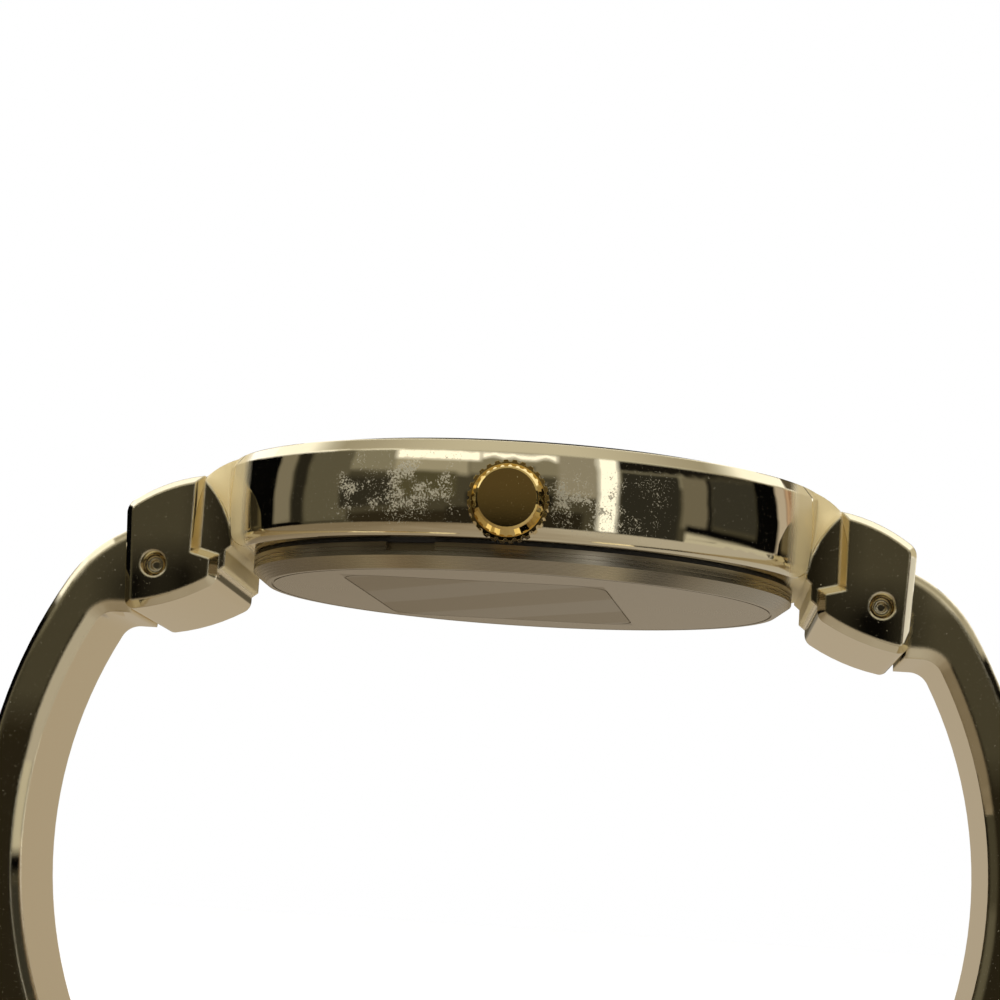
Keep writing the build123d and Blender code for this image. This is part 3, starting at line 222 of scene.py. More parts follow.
def satin_corner_with_painted_reflection(tree, place):
    """1 between the band and a lug, except on the lug's flat flanks, and 0 elsewhere."""
    parts = add(tree, "ShaderNodeSeparateXYZ", Vector=place)
    along = add(tree, "ShaderNodeMath", {"operation": "ABSOLUTE"}, i0=parts.outputs["X"])
    across = add(tree, "ShaderNodeMath", {"operation": "ABSOLUTE"}, i0=parts.outputs["Y"])
    off_flank = add(tree, "ShaderNodeMath", {"operation": "SUBTRACT"},
                    i0=across.outputs[0], i1=CORNER_FLANK * MM)
    off_flank = add(tree, "ShaderNodeMath", {"operation": "ABSOLUTE"}, i0=off_flank.outputs[0])
    start = add(tree, "ShaderNodeMapRange", Value=along.outputs[0],
                i1=(CORNER_START - CORNER_BLEND) * MM, i2=(CORNER_START + CORNER_BLEND) * MM)
    foot = add(tree, "ShaderNodeMath", {"operation": "LESS_THAN"}, i0=parts.outputs["Z"], i1=CORNER_FOOT * MM)
    reach = add(tree, "ShaderNodeMath", {"operation": "MULTIPLY_ADD"},
                i0=foot.outputs[0], i1=CORNER_FOOT_STEP * MM, i2=along.outputs[0])
    end = add(tree, "ShaderNodeMapRange", Value=reach.outputs[0],
              i1=(CORNER_END + CORNER_EDGE) * MM, i2=(CORNER_END - CORNER_EDGE) * MM)
    clear = add(tree, "ShaderNodeMapRange", Value=off_flank.outputs[0],
                i1=CORNER_EDGE / 2 * MM, i2=CORNER_EDGE * MM)
    both = add(tree, "ShaderNodeMath", {"operation": "MINIMUM"}, i0=start.outputs[0], i1=end.outputs[0])
    both = add(tree, "ShaderNodeMath", {"operation": "MINIMUM"}, i0=both.outputs[0], i1=clear.outputs[0])
    return both.outputs[0]


print("satin corners in mm:", CORNER_START, "to", CORNER_END)


# %% [markdown]
# ## The plating itself
# Fine buffing lines run everywhere, as a very shallow bump, and a faint haze makes some places
# mirror less sharply than others. The film isn't metal, so it is mixed in as a pale matte layer.
# A speck is about a tenth of a millimetre across, and a smear one to three millimetres long.
# The wheel also rounds every edge more than the CAD does, so the normals near an edge are bent
# over 0.2 to 0.4 mm. That gives the thin bright and dark lines along the edges.

# %% Polished gold plating
SMEAR_SIZE = 1.5
SPECK_SIZE = 0.11
# Between these two levels of the noise a smear, or a speck, comes in
SMEAR_RANGE = (0.42, 0.62)
SPECK_RANGE = (0.68, 0.86)
# A smear lifts the specks' noise by this much, so specks crowd inside smears
SMEAR_LIFT = 0.3
FILM_COLOUR, FILM_METAL, FILM_ROUGHNESS = "#9C957F", 0.2, 0.35
# The corners' cream is a painted reflection of the pale room; their metal and roughness are the satin's own
CORNER_REFLECTION_COLOUR, CORNER_METAL, CORNER_ROUGHNESS = "#DAC796", 0.35, 0.5
HAZE_RANGE = (0.45, 0.8)
HAZE_ROUGHNESS = (0.01, 0.045)
BUFFING_SPACING = 0.09
BUFFING_STRENGTH = 0.008
BUFFING_DEPTH = 0.02
EDGE_SAMPLES = 6


def polished_gold(name, tint, edge_rounding, with_film):
    material, tree, surface, place = new_material(name)
    smears = add(tree, "ShaderNodeTexNoise", Vector=place, Scale=1 / (SMEAR_SIZE * MM),
                 Detail=3.0, Roughness=0.55)
    specks = add(tree, "ShaderNodeTexNoise", Vector=place, Scale=1 / (SPECK_SIZE * MM),
                 Detail=2.0, Roughness=0.7)
    if with_film:
        smear = add(tree, "ShaderNodeMapRange", Value=smears.outputs["Fac"],
                    i1=SMEAR_RANGE[0], i2=SMEAR_RANGE[1])
        amount = add(tree, "ShaderNodeMath", {"operation": "MULTIPLY"},
                     i0=film_place(tree, place), i1=smear.outputs[0])
        level = add(tree, "ShaderNodeMath", {"operation": "MULTIPLY_ADD"},
                    i0=amount.outputs[0], i1=SMEAR_LIFT, i2=specks.outputs["Fac"])
    else:
        level = specks
    speck = add(tree, "ShaderNodeMapRange", Value=level.outputs[0], i1=SPECK_RANGE[0], i2=SPECK_RANGE[1])
    colour = add(tree, "ShaderNodeMix", {"data_type": "RGBA"},
                 i0=speck.outputs[0], i6=linear(tint), i7=linear(FILM_COLOUR))
    metal = add(tree, "ShaderNodeMapRange", Value=speck.outputs[0], i3=1.0, i4=FILM_METAL)
    haze = add(tree, "ShaderNodeMapRange", Value=smears.outputs["Fac"],
               i1=HAZE_RANGE[0], i2=HAZE_RANGE[1], i3=HAZE_ROUGHNESS[0], i4=HAZE_ROUGHNESS[1])
    roughness = add(tree, "ShaderNodeMath", {"operation": "MULTIPLY_ADD"},
                    i0=speck.outputs[0], i1=FILM_ROUGHNESS, i2=haze.outputs[0])
    if with_film:
        # The satin corners get the painted cream reflection in place of the mirror
        corner = satin_corner_with_painted_reflection(tree, place)
        colour = add(tree, "ShaderNodeMix", {"data_type": "RGBA"},
                     i0=corner, i6=colour.outputs[2], i7=linear(CORNER_REFLECTION_COLOUR))
        metal = add(tree, "ShaderNodeMix", i0=corner, i2=metal.outputs[0], i3=CORNER_METAL)
        roughness = add(tree, "ShaderNodeMix", i0=corner, i2=roughness.outputs[0], i3=CORNER_ROUGHNESS)
    lines = add(tree, "ShaderNodeTexNoise", Vector=place, Scale=1 / (BUFFING_SPACING * MM), Detail=2.0)
    edges = add(tree, "ShaderNodeBevel", {"samples": EDGE_SAMPLES}, Radius=edge_rounding * MM)
    bump = add(tree, "ShaderNodeBump", Strength=BUFFING_STRENGTH, Distance=BUFFING_DEPTH * MM,
               Height=lines.outputs["Fac"], Normal=edges.outputs[0])
    shader = add(tree, "ShaderNodeBsdfPrincipled", Base_Color=colour.outputs[2], Metallic=metal.outputs[0],
                 Roughness=roughness.outputs[0], Normal=bump.outputs[0])
    tree.links.new(shader.outputs[0], surface)
    return material


# %% [markdown]
# ## Three platings
# The case has the film and the satin corners, with their painted cream reflection, on it. The arms are the
# same pale gold, rounded more along their edges, so their sides fade softly. The crown is yellower and its
# flutes stay crisp.

# %% The three platings
PALE_GOLD = "#E7DBBB"
YELLOW_GOLD = "#E3C67E"
# How far the wheel rounds an edge, in millimetres
CASE_EDGE = 0.18
ARM_EDGE = 0.38
CROWN_EDGE = 0.02
case_plating = polished_gold("steel, buffed and plated pale gold, handled", PALE_GOLD, CASE_EDGE, True)
arm_plating = polished_gold("steel, buffed and plated pale gold", PALE_GOLD, ARM_EDGE, False)
crown_plating = polished_gold("steel, turned and plated yellow gold", YELLOW_GOLD, CROWN_EDGE, False)
print("plating:", case_plating.name, "|", arm_plating.name, "|", crown_plating.name)


# %% [markdown]
# ## Satin steel case back
# The case back is stainless steel, turned on a lathe and left satin, so it shows only a blur of the room.
# The cutter leaves fine rings about the centre, about six to the millimetre.
# Inside the etched frame the acid left a matte field, with a few plain bars rubbed brighter across it.
# The eye gets a warm grey disc with a faint sheen, and a window in it that only differs in how dull it is.

# %% Satin steel case back
BACK_COLOUR = "#AAA08C"
FIELD_COLOUR = "#A89C84"
BAR_COLOUR = "#B5AC9A"
SATIN_ROUGHNESS = (0.27, 0.3)
ETCHING_ROUGHNESS = 0.16
GRAIN_SIZE = 0.25
# Only the flat outer face is etched, and it lies at height 0
ETCHED_BELOW = 0.2
RING_SPACING = 0.16
PANEL_HALF_X = 7.7
PANEL_HALF_Y = 10.7
PANEL_CENTRE = (-1.7, 0.6)
PANEL_TURN = -4.0
BAR_SPACING = 9.06
BAR_RANGE = (0.45, 0.6)
# Diagonal bands of the wave texture lie this far apart at scale 1
WAVE_PERIOD = 2 * pi / (10 * 2 ** 0.5)
# The rings' share of the relief, next to the grain's whole one
RING_SHARE = 0.5
RELIEF_STRENGTH = 0.03
RELIEF_DEPTH = 0.01


def satin_case_back():
    material, tree, surface, place = new_material("stainless steel, turned satin, with an etched field")
    parts = add(tree, "ShaderNodeSeparateXYZ", Vector=place)
    flat = add(tree, "ShaderNodeCombineXYZ", X=parts.outputs["X"], Y=parts.outputs["Y"])
    radius = add(tree, "ShaderNodeVectorMath", {"operation": "LENGTH"}, i0=flat.outputs[0])
    turns = add(tree, "ShaderNodeMath", {"operation": "MULTIPLY"},
                i0=radius.outputs["Value"], i1=2 * pi / (RING_SPACING * MM))
    rings = add(tree, "ShaderNodeMath", {"operation": "SINE"}, i0=turns.outputs[0])
    panel = add(tree, "ShaderNodeMapping", {"vector_type": "TEXTURE"}, Vector=place,
                Location=(PANEL_CENTRE[0] * MM, PANEL_CENTRE[1] * MM, 0),
                Rotation=(0, 0, radians(PANEL_TURN)))
    spot = add(tree, "ShaderNodeSeparateXYZ", Vector=panel.outputs[0])
    field = add(tree, "ShaderNodeMath", {"operation": "LESS_THAN"},
                i0=spot.outputs["Z"], i1=ETCHED_BELOW * MM)
    for axis, half in (("X", PANEL_HALF_X), ("Y", PANEL_HALF_Y)):
        size = add(tree, "ShaderNodeMath", {"operation": "ABSOLUTE"}, i0=spot.outputs[axis])
        within = add(tree, "ShaderNodeMath", {"operation": "LESS_THAN"}, i0=size.outputs[0], i1=half * MM)
        field = add(tree, "ShaderNodeMath", {"operation": "MULTIPLY"},
                    i0=field.outputs[0], i1=within.outputs[0])
    stripes = add(tree, "ShaderNodeTexWave", {"wave_type": "BANDS", "bands_direction": "DIAGONAL"},
                  Vector=panel.outputs[0], Scale=WAVE_PERIOD / (BAR_SPACING * MM), Distortion=0.6, Detail=1.0)
    bars = add(tree, "ShaderNodeMapRange", Value=stripes.outputs["Fac"], i1=BAR_RANGE[0], i2=BAR_RANGE[1])
    rubbed = add(tree, "ShaderNodeMath", {"operation": "MULTIPLY"},
                 i0=bars.outputs[0], i1=field.outputs[0])
    grain = add(tree, "ShaderNodeTexNoise", Vector=place, Scale=1 / (GRAIN_SIZE * MM), Detail=3.0)
    turned = add(tree, "ShaderNodeMapRange", Value=rings.outputs[0], i1=-1.0, i2=1.0,
                 i3=SATIN_ROUGHNESS[0], i4=SATIN_ROUGHNESS[1])
    roughness = add(tree, "ShaderNodeMath", {"operation": "MULTIPLY_ADD"},
                    i0=field.outputs[0], i1=ETCHING_ROUGHNESS, i2=turned.outputs[0])
    etched = add(tree, "ShaderNodeMix", {"data_type": "RGBA"},
                 i0=field.outputs[0], i6=linear(BACK_COLOUR), i7=linear(FIELD_COLOUR))
    colour = add(tree, "ShaderNodeMix", {"data_type": "RGBA"},
                 i0=rubbed.outputs[0], i6=etched.outputs[2], i7=linear(BAR_COLOUR))
    height = add(tree, "ShaderNodeMath", {"operation": "MULTIPLY_ADD"},
                 i0=rings.outputs[0], i1=RING_SHARE, i2=grain.outputs["Fac"])
    bump = add(tree, "ShaderNodeBump", Strength=RELIEF_STRENGTH, Distance=RELIEF_DEPTH * MM,
               Height=height.outputs[0])
    shader = add(tree, "ShaderNodeBsdfPrincipled", Base_Color=colour.outputs[2], Metallic=1.0,
                 Roughness=roughness.outputs[0], Normal=bump.outputs[0])
    tree.links.new(shader.outputs[0], surface)
    return material


back_steel = satin_case_back()
print("case back:", back_steel.name)


# %% [markdown]
# ## Lacquered dial
# The dial is a brass disc, brushed outward from its centre and lacquered pale champagne.
# The brushing throws light in soft rays that turn with the light, which is why it is called a sunburst.
# The lacquer makes it a smooth coat over that, so the brushing shows in tone more than in relief.

# %% Lacquered dial
RAY_COUNT = 150
RAY_TONES = ("#EFE6D0", "#D9CCAE")
RAY_ROUGHNESS = (0.28, 0.42)
RAY_STRENGTH = 0.2
RAY_DEPTH = 0.01
# Half metal, as the tinted lacquer hides part of the brass
DIAL_METAL = 0.55
LACQUER_COAT = 0.5
LACQUER_ROUGHNESS = 0.05


def sunburst_dial():
    material, tree, surface, place = new_material("brass dial, sunburst brushed and lacquered")
    parts = add(tree, "ShaderNodeSeparateXYZ", Vector=place)
    angle = add(tree, "ShaderNodeMath", {"operation": "ARCTAN2"},
                i0=parts.outputs["Y"], i1=parts.outputs["X"])
    around = add(tree, "ShaderNodeMath", {"operation": "MULTIPLY"},
                 i0=angle.outputs[0], i1=RAY_COUNT / (2 * pi))
    along = add(tree, "ShaderNodeCombineXYZ", X=around.outputs[0])
    rays = add(tree, "ShaderNodeTexNoise", Vector=along.outputs[0], Scale=1.0, Detail=3.0)
    colour = add(tree, "ShaderNodeMix", {"data_type": "RGBA"},
                 i0=rays.outputs["Fac"], i6=linear(RAY_TONES[0]), i7=linear(RAY_TONES[1]))
    rough = add(tree, "ShaderNodeMapRange", Value=rays.outputs["Fac"],
                i1=NOISE_RANGE[0], i2=NOISE_RANGE[1], i3=RAY_ROUGHNESS[0], i4=RAY_ROUGHNESS[1])
    bump = add(tree, "ShaderNodeBump", Strength=RAY_STRENGTH, Distance=RAY_DEPTH * MM,
               Height=rays.outputs["Fac"])
    shader = add(tree, "ShaderNodeBsdfPrincipled", Base_Color=colour.outputs[2], Metallic=DIAL_METAL,
                 Roughness=rough.outputs[0], Normal=bump.outputs[0],
                 Coat_Weight=LACQUER_COAT, Coat_Roughness=LACQUER_ROUGHNESS)
    tree.links.new(shader.outputs[0], surface)
    return material


dial_lacquer = sunburst_dial()
print("dial:", dial_lacquer.name)


# %% [markdown]
# ## Pearled brass plates
# The main plate and the bridge are brass, milled and gilded, and pearled:
# a turning peg leaves overlapping rounds of fine rings, here about a millimetre across.
# A cell texture gives the rounds, and its distance gives the rings in each.
# The eye gets a shimmer that changes from round to round.

# %% Pearled brass plates
PEARL_SIZE = 1.1
# The cell texture's distance times this is the rings' phase: about five from the middle to the rim
PEARL_PHASE = 60.0
PEARL_WANDER = 0.25
PEARL_TONES = ("#D9B878", "#C8A564")
PEARL_ROUGHNESS = (0.22, 0.36)
PEARL_STRENGTH = 0.25
PEARL_DEPTH = 0.01


def pearled_brass():
    material, tree, surface, place = new_material("brass, milled, pearled and gilded")
    rounds = add(tree, "ShaderNodeTexVoronoi", Vector=place, Scale=1 / (PEARL_SIZE * MM),
                 Randomness=PEARL_WANDER)
    turns = add(tree, "ShaderNodeMath", {"operation": "MULTIPLY"},
                i0=rounds.outputs["Distance"], i1=PEARL_PHASE)
    rings = add(tree, "ShaderNodeMath", {"operation": "SINE"}, i0=turns.outputs[0])
    share = add(tree, "ShaderNodeMapRange", Value=rings.outputs[0], i1=-1.0, i2=1.0)
    colour = add(tree, "ShaderNodeMix", {"data_type": "RGBA"},
                 i0=share.outputs[0], i6=linear(PEARL_TONES[0]), i7=linear(PEARL_TONES[1]))
    rough = add(tree, "ShaderNodeMapRange", Value=share.outputs[0],
                i3=PEARL_ROUGHNESS[0], i4=PEARL_ROUGHNESS[1])
    bump = add(tree, "ShaderNodeBump", Strength=PEARL_STRENGTH, Distance=PEARL_DEPTH * MM,
               Height=share.outputs[0])
    shader = add(tree, "ShaderNodeBsdfPrincipled", Base_Color=colour.outputs[2], Metallic=1.0,
                 Roughness=rough.outputs[0], Normal=bump.outputs[0])
    tree.links.new(shader.outputs[0], surface)
    return material


plate_brass = pearled_brass()
print("plates:", plate_brass.name)


# %% [markdown]
# ## Plain metals, plastics and rubber of the inside
# These pieces are hidden in the picture and seen when the watch is taken apart.
# Each gets the colour and the grain of what it is. One pattern serves them all: two close tones,
# a roughness that varies by fifteen in a hundred each way, and a very shallow bump.

# %% Metals and mouldings of the inside
ROUGHNESS_SPREAD = 0.15
GRAIN_STRENGTH = 0.1
GRAIN_DEPTH = 0.02


def grained(name, hex_colour, darker, metallic, roughness, grain_size):
    material, tree, surface, place = new_material(name)
    grain = add(tree, "ShaderNodeTexNoise", Vector=place, Scale=1 / (grain_size * MM),
                Detail=4.0, Roughness=0.6)
    colour = add(tree, "ShaderNodeMix", {"data_type": "RGBA"}, i0=grain.outputs["Fac"],
                 i6=linear(hex_colour), i7=linear(darker))
    rough = add(tree, "ShaderNodeMapRange", Value=grain.outputs["Fac"],
                i1=NOISE_RANGE[0], i2=NOISE_RANGE[1],
                i3=roughness * (1 - ROUGHNESS_SPREAD), i4=roughness * (1 + ROUGHNESS_SPREAD))
    bump = add(tree, "ShaderNodeBump", Strength=GRAIN_STRENGTH, Distance=GRAIN_DEPTH * MM,
               Height=grain.outputs["Fac"])
    shader = add(tree, "ShaderNodeBsdfPrincipled", Base_Color=colour.outputs[2], Metallic=metallic,
                 Roughness=rough.outputs[0], Normal=bump.outputs[0])
    tree.links.new(shader.outputs[0], surface)
    return material


print("grained finishes vary their roughness by", ROUGHNESS_SPREAD)


# %% [markdown]
# ## The list of finishes
# Every node names a finish in the record, and this list says what it is. In each line of a grained
# one stand its two tones, how much of a metal it is, its roughness and its grain in millimetres.

# %% The list of finishes
finishes = {
    "case_gold": arm_plating,
    "crown_gold": crown_plating,
    "back_steel": back_steel,
    "dial_lacquer": dial_lacquer,
    "plate_brass": plate_brass,
    # Gaskets are black and dull
    "black_rubber": grained("nitrile rubber, moulded", "#141414", "#1E1E1E", 0.0, 0.62, 0.3),
    # Unpigmented nylon is milky, with a soft shine from the mould
    "clear_nylon": grained("nylon, moulded", "#D8D8D0", "#C8C8C0", 0.0, 0.42, 0.4),
    # A diamond cutter leaves the hands and markers nearly a mirror, under clear lacquer
    "hand_gold": grained("brass, diamond cut and lacquered", "#E3C684", "#D9B970", 1.0, 0.14, 0.5),
    # Ground steel is pale and even
    "bright_steel": grained("carbon steel, ground bright", "#C8C8C6", "#B4B4B2", 1.0, 0.2, 0.15),
    # Drawn spring wire is darker, from its heat treatment
    "spring_steel": grained("spring steel, drawn wire", "#8C9096", "#74787E", 1.0, 0.3, 0.1),
    # Turned screws have a bright, slightly blue look
    "screw_steel": grained("carbon steel, turned screws", "#AEB0B4", "#96989C", 1.0, 0.24, 0.1),
    # Gilding gives the wheels an even yellow
    "wheel_brass": grained("brass, punched and gilded", "#E2BE74", "#CDA65C", 1.0, 0.22, 0.15),
    # Acetal is white and waxy
    "holder_plastic": grained("acetal, moulded", "#E4E4DE", "#DADAD4", 0.0, 0.45, 0.4),
    # Solder resist lies over the weave of the board, which shows as a fine mottle
    "circuit_green": grained("glass-epoxy board, solder resist", "#1F6B44", "#195638", 0.0, 0.32, 0.25),
    # The filler in the resin makes the chip's cover matte
    "chip_black": grained("epoxy resin, moulded", "#17171A", "#222226", 0.0, 0.55, 0.12),
    # Drawing leaves the quartz can satin and slightly warm
    "can_metal": grained("nickel silver, drawn", "#C9C9C4", "#B9B9B4", 1.0, 0.26, 0.2),
    # Nickel over drawn steel: brighter than the can, with a soft streak of highlight
    "battery_steel": grained("nickel-plated steel, drawn", "#D2D2CF", "#C2C2BF", 1.0, 0.24, 0.3),
    # Annealed iron is grey and dull
    "soft_iron": grained("soft iron, punched", "#8E8E8C", "#7A7A78", 1.0, 0.36, 0.15),
    # Sintered powder is dark and has the finest, roughest grain
    "magnet": grained("samarium-cobalt magnet, sintered", "#5A5A5C", "#4A4A4C", 1.0, 0.5, 0.08),
}
print("finishes:", len(finishes))


# %% [markdown]
# ## Copper winding
# The coil is hair-thin enamelled wire, wound side by side.
# Real turns are two hundredths of a millimetre, too fine to show, so the ridges are drawn
# at a tenth. The colour darkens into a painted shade between the turns, so the eye gets ribbed orange with
# dark lines there.

# %% Copper winding
WIRE_PITCH = 0.1
# Dark tone: painted shade between the turns; light tone: the copper on each turn
WIRE_TONES_WITH_PAINTED_SHADE = ((0.0, "#5A2C14"), (1.0, "#C9783E"))
WIRE_ROUGHNESS = 0.3
WIRE_STRENGTH = 0.6
WIRE_DEPTH = 0.03


def wound_copper():
    material, tree, surface, place = new_material("enamelled copper wire, wound, painted shade between turns")
    along = add(tree, "ShaderNodeSeparateXYZ", Vector=place)
    turns = add(tree, "ShaderNodeMath", {"operation": "MULTIPLY"},
                i0=along.outputs["Y"], i1=2 * pi / (WIRE_PITCH * MM))
    ridges = add(tree, "ShaderNodeMath", {"operation": "SINE"}, i0=turns.outputs[0])
    share = add(tree, "ShaderNodeMapRange", Value=ridges.outputs[0], i1=-1.0, i2=1.0)
    # The ramp paints shade into the grooves between the turns
    colour = add(tree, "ShaderNodeValToRGB", i0=share.outputs[0], stops=WIRE_TONES_WITH_PAINTED_SHADE)
    bump = add(tree, "ShaderNodeBump", Strength=WIRE_STRENGTH, Distance=WIRE_DEPTH * MM,
               Height=share.outputs[0])
    shader = add(tree, "ShaderNodeBsdfPrincipled", Base_Color=colour.outputs[0], Metallic=1.0,
                 Roughness=WIRE_ROUGHNESS, Normal=bump.outputs[0])
    tree.links.new(shader.outputs[0], surface)
    return material


finishes["copper_wire"] = wound_copper()
print("winding:", finishes["copper_wire"].name)


# %% [markdown]
# ## Mineral glass crystal
# The crystal is flat mineral glass, ground and polished. Only its bevelled edge stands above the bezel.
# Light wear makes its polish vary a little, so its roughness does too. The eye gets clear glass
# over the dial, with a reflection that isn't equally sharp everywhere.

# %% Mineral glass crystal
GLASS_COLOUR = "#F4F8F6"
GLASS_IOR = 1.52
WEAR_SIZE = 2.0
WEAR_RANGE = (0.4, 0.7)
WEAR_ROUGHNESS = 0.03


def mineral_glass():
    material, tree, surface, place = new_material("mineral glass, polished")
    wear = add(tree, "ShaderNodeTexNoise", Vector=place, Scale=1 / (WEAR_SIZE * MM), Detail=3.0)
    rough = add(tree, "ShaderNodeMapRange", Value=wear.outputs["Fac"],
                i1=WEAR_RANGE[0], i2=WEAR_RANGE[1], i4=WEAR_ROUGHNESS)
    shader = add(tree, "ShaderNodeBsdfPrincipled", Base_Color=linear(GLASS_COLOUR),
                 Roughness=rough.outputs[0], IOR=GLASS_IOR, Transmission_Weight=1.0)
    tree.links.new(shader.outputs[0], surface)
    return material


finishes["crystal_glass"] = mineral_glass()
print("crystal:", finishes["crystal_glass"].name)


# %% [markdown]
# ## Dress every node
# The record says which finish each node takes, so each CAD object gets its material from there.
# The hinge pins are pressed in and plated with the case, so they take its plating.

# %% Assign the finishes
slot_of = {entry["node"]: entry["material_slot"] for entry in frame["record"]["subparts"]}
for node_name, node_object in frame["nodes"].items():
    plated_with_case = node_name == "case_body" or node_name.startswith("hinge_pin")
    material = case_plating if plated_with_case else finishes[slot_of[node_name]]
    if not node_object.material_slots:
        node_object.data.materials.append(material)
    for material_slot in node_object.material_slots:
        material_slot.material = material
print("dressed nodes:", len(frame["nodes"]))


# %% [markdown]
# ## Studio floor
# A plain pale floor catches the shadow. It lies just under the bangle's tips, and its paint has a
# faint mottle of board fibres, which the eye takes as paper and not as a void.
# Paint alone turns grey away from the lamp, so a little glow is added for what is seen
# directly, in metal and through glass. The lamps don't change, and the shadow stays.

# %% Studio floor
# The radius is in metres, the gap under the tips and the fibres are in millimetres
FLOOR_RADIUS = 3.0
FLOOR_GAP = 0.02
FIBRE_SIZE = 1.5
FLOOR_TONES = ("#F6F4EF", "#F2F0EA")
FLOOR_ROUGHNESS = 0.8
FLOOR_GLOW = 0.42
ROUND_STEPS = 96


def seen_rays(tree):
    """1 for rays that show a background: from the camera, off gloss and through glass."""
    path = add(tree, "ShaderNodeLightPath")
    seen = add(tree, "ShaderNodeMath", {"operation": "ADD"},
               i0=path.outputs["Is Camera Ray"], i1=path.outputs["Is Glossy Ray"])
    seen = add(tree, "ShaderNodeMath", {"operation": "ADD", "use_clamp": True},
               i0=seen.outputs[0], i1=path.outputs["Is Transmission Ray"])
    return seen.outputs[0]


def studio_floor():
    material, tree, surface, place = new_material("painted board, matte white")
    fibres = add(tree, "ShaderNodeTexNoise", Vector=place, Scale=1 / (FIBRE_SIZE * MM), Detail=4.0)
    colour = add(tree, "ShaderNodeMix", {"data_type": "RGBA"}, i0=fibres.outputs["Fac"],
                 i6=linear(FLOOR_TONES[0]), i7=linear(FLOOR_TONES[1]))
    paint = add(tree, "ShaderNodeBsdfPrincipled", Base_Color=colour.outputs[2], Roughness=FLOOR_ROUGHNESS)
    strength = add(tree, "ShaderNodeMath", {"operation": "MULTIPLY"}, i0=seen_rays(tree), i1=FLOOR_GLOW)
    glow = add(tree, "ShaderNodeEmission", Color=linear("#FFFFFF"), Strength=strength.outputs[0])
    both = add(tree, "ShaderNodeAddShader", i0=paint.outputs[0], i1=glow.outputs[0])
    tree.links.new(both.outputs[0], surface)
    mesh = bpy.data.meshes.new("studio_floor")
    shape = bmesh.new()
    bmesh.ops.create_circle(shape, cap_ends=True, segments=ROUND_STEPS, radius=FLOOR_RADIUS)
    shape.to_mesh(mesh)
    shape.free()
    mesh.materials.append(material)
    floor = bpy.data.objects.new("studio_floor", mesh)
    floor.location.z = cad_low.z - FLOOR_GAP * MM
    bpy.context.scene.collection.objects.link(floor)
    return floor


floor = studio_floor()
print("floor height in mm:", round(floor.location.z / MM, 2))


# %% [markdown]
# ## What the mirror sees
# A polished watch shows the studio around it. Photographers stand dark and pale cards round it,
# so that the metal gets depth. Here one round wall carries them all. It is fixed in the room,
# and only reflections see it. The cards are written as a list: from azimuth to azimuth in degrees,
# from height to height in millimetres, and a colour. A later card lies over an earlier one.
# White stands for a window. Each card's place follows from where the metal looks: for a dark or pale
# patch on the real watch, the mirror's direction there says where in the room its cause must stand.

# %% Cards round the watch
CARDS = (
    (140, 181, 2, 200, "#5A5344"),
    (-181, -150, 2, 200, "#7C766A"),
    (-152, 118, -60, 200, "#4A473C"),
    (-64, -45, 44, 200, "#8A877A"),
    (-45, -18, 42, 200, "#A8A496"),
    (-18, 27, 44, 200, "#8A8678"),
    (-45, -14, 62, 74, "#FFFFFF"),
    (-14, 27, 67, 74, "#FFFFFF"),
    (27, 60, 44, 200, "#8A877A"),
    (30, 107, 62, 200, "#1C1A16"),
    (-150, -99, -60, 72, "#050505"),
    (-100, -84, -60, -2, "#070605"),
    (-99, -90, -2, 200, "#837E72"),
    (-89, -83, -6, 200, "#2A2822"),
    (-82, -63, -8, 200, "#615E52"),
    (-62, -20, -60, -4, "#302B20"),
    (-44, -22, 12, 44, "#54513F"),
    (-66, -45, 3, 38, "#33312A"),
    (-25, 22, -60, 1, "#2A261D"),
    (-18.1, -16.2, 5, 20.6, "#050404"),
    (-16.2, -14.4, 5, 21.6, "#050404"),
    (-14.6, -11, 5, 34, "#24211A"),
    (0.8, 4.6, -20, 58, "#070605"),
    (-7.5, 0.5, 5, 26.2, "#060504"),
    (-7.5, 0.5, 26.4, 42, "#5A5244"),
    (4.5, 8.9, 5, 32, "#1E1B14"),
    (8.9, 11.6, 5, 21.4, "#0A0908"),
    (13, 27, 22, 200, "#98948A"),
    (27.2, 34.2, -30, 200, "#FAFCFF"),
    (35, 57, -60, 60, "#302F2A"),
    (58, 69, 0, 60, "#757064"),
    (69, 71, -8, 60, "#171613"),
    (71, 92, 8, 60, "#3A3933"),
    (92, 104, -60, 72, "#060606"),
    (60, 104, -4, 4, "#080707"),
    (60, 104, -60, -5, "#C9C5B8"),
    (104, 110, -12, 70, "#C2B8AE"),
    (110, 113, -12, 70, "#C4A68E"),
    (113, 115.2, -12, 70, "#B08A70"),
    (116, 128, 26, 200, "#CFC8B2"),
    (116, 128, -60, 26, "#FFFFFF"),
    (128, 140, -60, 200, "#FFFFFF"),
    (-152, 116, 90, 200, "#B5B0A2"),
    (-152, -78, 80, 200, "#FFFFFF"),
)
print("cards:", len(CARDS))


# %% [markdown]
# ## Things that only reflections see
# The wall, the paper above and the cloth below stand in for a room. Rays from the camera, shadows
# and the soft light pass through them, so they don't hide the white studio or take its light.

# %% Wall, sheet and how they are hidden
WALL_RADIUS = 190.0
WALL_TOP = 130.0
WALL_BOTTOM = cad_low.z / MM


def round_wall(radius, bottom, top, steps=120):
    shape = bmesh.new()
    columns = []
    for step in range(steps):
        angle = 2 * pi * step / steps
        spot = Vector((sin(angle), -cos(angle), 0)) * radius * MM
        columns.append([shape.verts.new(spot + Vector((0, 0, z * MM))) for z in (bottom, top)])
    for first, second in zip(columns, columns[1:] + columns[:1]):
        shape.faces.new((first[0], second[0], second[1], first[1]))
    return shape


def round_sheet(height):
    shape = bmesh.new()
    bmesh.ops.create_circle(shape, cap_ends=True, segments=ROUND_STEPS, radius=WALL_RADIUS * MM)
    bmesh.ops.translate(shape, verts=shape.verts, vec=(0, 0, height * MM))
    return shape


